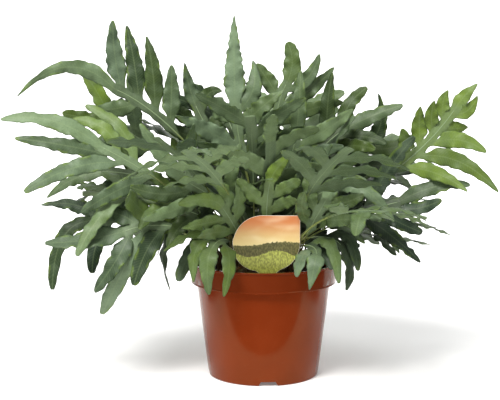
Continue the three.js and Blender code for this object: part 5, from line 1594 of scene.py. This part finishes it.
# ---------------------------------------------------------------------------------------------
# Stage
# ---------------------------------------------------------------------------------------------
def studio_floor(look):
    """Seamless photographic paper on a lit table: near white, matt, very slightly uneven."""
    material, node, place = start_material("studio_paper")
    uneven = node("TexNoise", {"Vector": place, "Scale": 1 / 0.3, "Detail": 1.0})
    colour = node("Mix", {0: uneven, 6: look.floor_colour, 7: shaded(look.floor_colour, 0.985)}, 2, **COLOURS)
    return end_material(material, {"Base Color": colour, "Roughness": 0.8,
                                   "Emission Strength": look.floor_glow,
                                   "Emission Color": (1.0, 1.0, 1.0, 1.0)})


def softbox(name, place, aim, width, height, power, colour=(1.0, 1.0, 1.0)):
    """A rectangular area light that faces the aim."""
    light = bpy.data.lights.new(name, "AREA")
    light.shape = "RECTANGLE"
    light.size, light.size_y = width, height
    light.energy = power
    light.color = colour
    made = bpy.data.objects.new(name, light)
    made.location = place
    made.rotation_euler = (Vector(aim) - Vector(place)).to_track_quat("-Z", "Y").to_euler()
    bpy.context.scene.collection.objects.link(made)


class FERN_OT_stage(bpy.types.Operator):
    """Set the pale floor, the soft studio light and the camera at the photograph's angle"""
    bl_idname = "fern.stage"
    bl_label = "Stage"

    def execute(self, context):
        look = context.scene.fern_stage
        self.floor(look)
        self.flag()
        self.surround(context, look)
        softbox("key_light", (-0.8, -1.7, 2.5), (0, 0, 0.25), 1.2, 1.2, look.key_power, (1.0, 0.99, 0.97))
        softbox("fill_light", (1.9, -1.2, 1.3), (0, 0, 0.2), 1.2, 1.6, look.fill_power * 0.5,
                (0.97, 0.98, 1.0))
        softbox("top_light", (0.1, 0.5, 2.4), (0, 0, 0.3), 1.6, 1.6, look.fill_power)
        softbox("backdrop_light", (0, 1.8, 3.2), (0, 6.5, 1.0), 3.0, 1.2, look.backdrop_power)
        self.camera(context)
        context.scene.view_settings.view_transform = "Standard"
        return {"FINISHED"}

    @staticmethod
    def floor(look):
        deselect_all()
        bpy.ops.mesh.primitive_plane_add(size=14, location=(0, 0, 0))
        floor = bpy.context.object
        floor.name = "studio_floor"
        bpy.ops.object.mode_set(mode="EDIT")
        mesh = bmesh.from_edit_mesh(floor.data)
        for edge in mesh.edges:
            edge.select = all(vertex.co.y > 0 for vertex in edge.verts)
        mesh.select_flush(False)
        bmesh.update_edit_mesh(floor.data)
        bpy.ops.mesh.extrude_edges_move(TRANSFORM_OT_translate={"value": (0, 0, 6)})
        bpy.ops.object.mode_set(mode="OBJECT")
        apply_modifier(floor, "BEVEL", width=2.2, segments=16, limit_method="ANGLE")
        smooth_by_angle(floor, 60)
        dress(floor, studio_floor(look))

    @staticmethod
    def flag():
        """Black cards on the floor before the pot and at its sides, which only its gloss shows.

        They stand for the dark floor past the edge of the table, and no view and no shadow shows them.
        """
        cards = ((-1.6, 1.6, -1.6, -0.15), (-1.6, -0.34, -0.15, 0.1), (0.34, 1.6, -0.15, 0.1))
        points = []
        for left, right, front, back in cards:
            corners = ((left, front), (right, front), (right, back), (left, back))
            points += [(x / MM, y / MM, 1.0) for x, y in corners]
        flag = object_of("flag", points, [range(k, k + 4) for k in range(0, len(points), 4)])
        flock = start_material("black_flock")[0]
        dress(flag, end_material(flock, {"Base Color": linear("#050505"), "Roughness": 1.0}))
        flag.visible_camera = flag.visible_diffuse = flag.visible_shadow = False
        flag.visible_transmission = flag.visible_volume_scatter = False

    @staticmethod
    def surround(context, look):
        """A white studio on every side, which is seen brighter than it shines."""
        world = bpy.data.worlds.new("studio")
        context.scene.world = world
        world.use_nodes = True
        tree = world.node_tree
        node = partial(add_node, tree)
        seen = node("LightPath", {}, "Is Camera Ray")
        strength = node("MapRange", {0: seen, 3: look.surround, 4: 1.0})
        fill_sockets(tree, tree.nodes["Background"], {"Color": (1.0, 1.0, 1.0, 1.0), "Strength": strength})

    @staticmethod
    def camera(context):
        """The view's own figures: 1.45 m away, 0.39 m up, tilted 6.4 degrees down."""
        lens = bpy.data.cameras.new("camera")
        lens.sensor_width = 36
        lens.lens = 81.3
        lens.clip_end = 50
        camera = bpy.data.objects.new("camera", lens)
        camera.location = (0, -1.45, 0.39)
        camera.rotation_euler = (math.radians(90 - 6.42), 0, math.radians(0.69))
        context.scene.collection.objects.link(camera)
        context.scene.camera = camera


# ---------------------------------------------------------------------------------------------
# Panel and run
# ---------------------------------------------------------------------------------------------
OPERATORS = (FERN_OT_pot, FERN_OT_soil, FERN_OT_rhizome, FERN_OT_label, FERN_OT_fronds, FERN_OT_stage)
SETTINGS = {"fern_pot": PotSettings, "fern_soil": SoilSettings, "fern_label": LabelSettings,
            "fern_fronds": FrondSettings, "fern_stage": StageSettings}


class FERN_PT_panel(bpy.types.Panel):
    """Lists the steps that build the plant, with their settings"""
    bl_label = "Potted Fern"
    bl_idname = "FERN_PT_panel"
    bl_space_type = "VIEW_3D"
    bl_region_type = "UI"
    bl_category = "Fern"

    def draw(self, context):
        for operator in OPERATORS:
            self.layout.operator(operator.bl_idname)
        for name, group in SETTINGS.items():
            box = self.layout.box()
            box.label(text=group.__doc__)
            for key in group.__annotations__:
                box.prop(getattr(context.scene, name), key)


def register():
    for group in SETTINGS.values():
        bpy.utils.register_class(group)
    for item in (*OPERATORS, FERN_PT_panel):
        bpy.utils.register_class(item)
    for name, group in SETTINGS.items():
        setattr(bpy.types.Scene, name, PointerProperty(type=group))


def unregister():
    for name in SETTINGS:
        delattr(bpy.types.Scene, name)
    for item in (FERN_PT_panel, *reversed(OPERATORS), *SETTINGS.values()):
        bpy.utils.unregister_class(item)


def main():
    register()
    bpy.ops.fern.pot()
    bpy.ops.fern.soil()
    bpy.ops.fern.rhizome()
    bpy.ops.fern.label()
    bpy.ops.fern.fronds()
    bpy.ops.fern.stage()
    deselect_all()


if __name__ == "__main__":
    main()
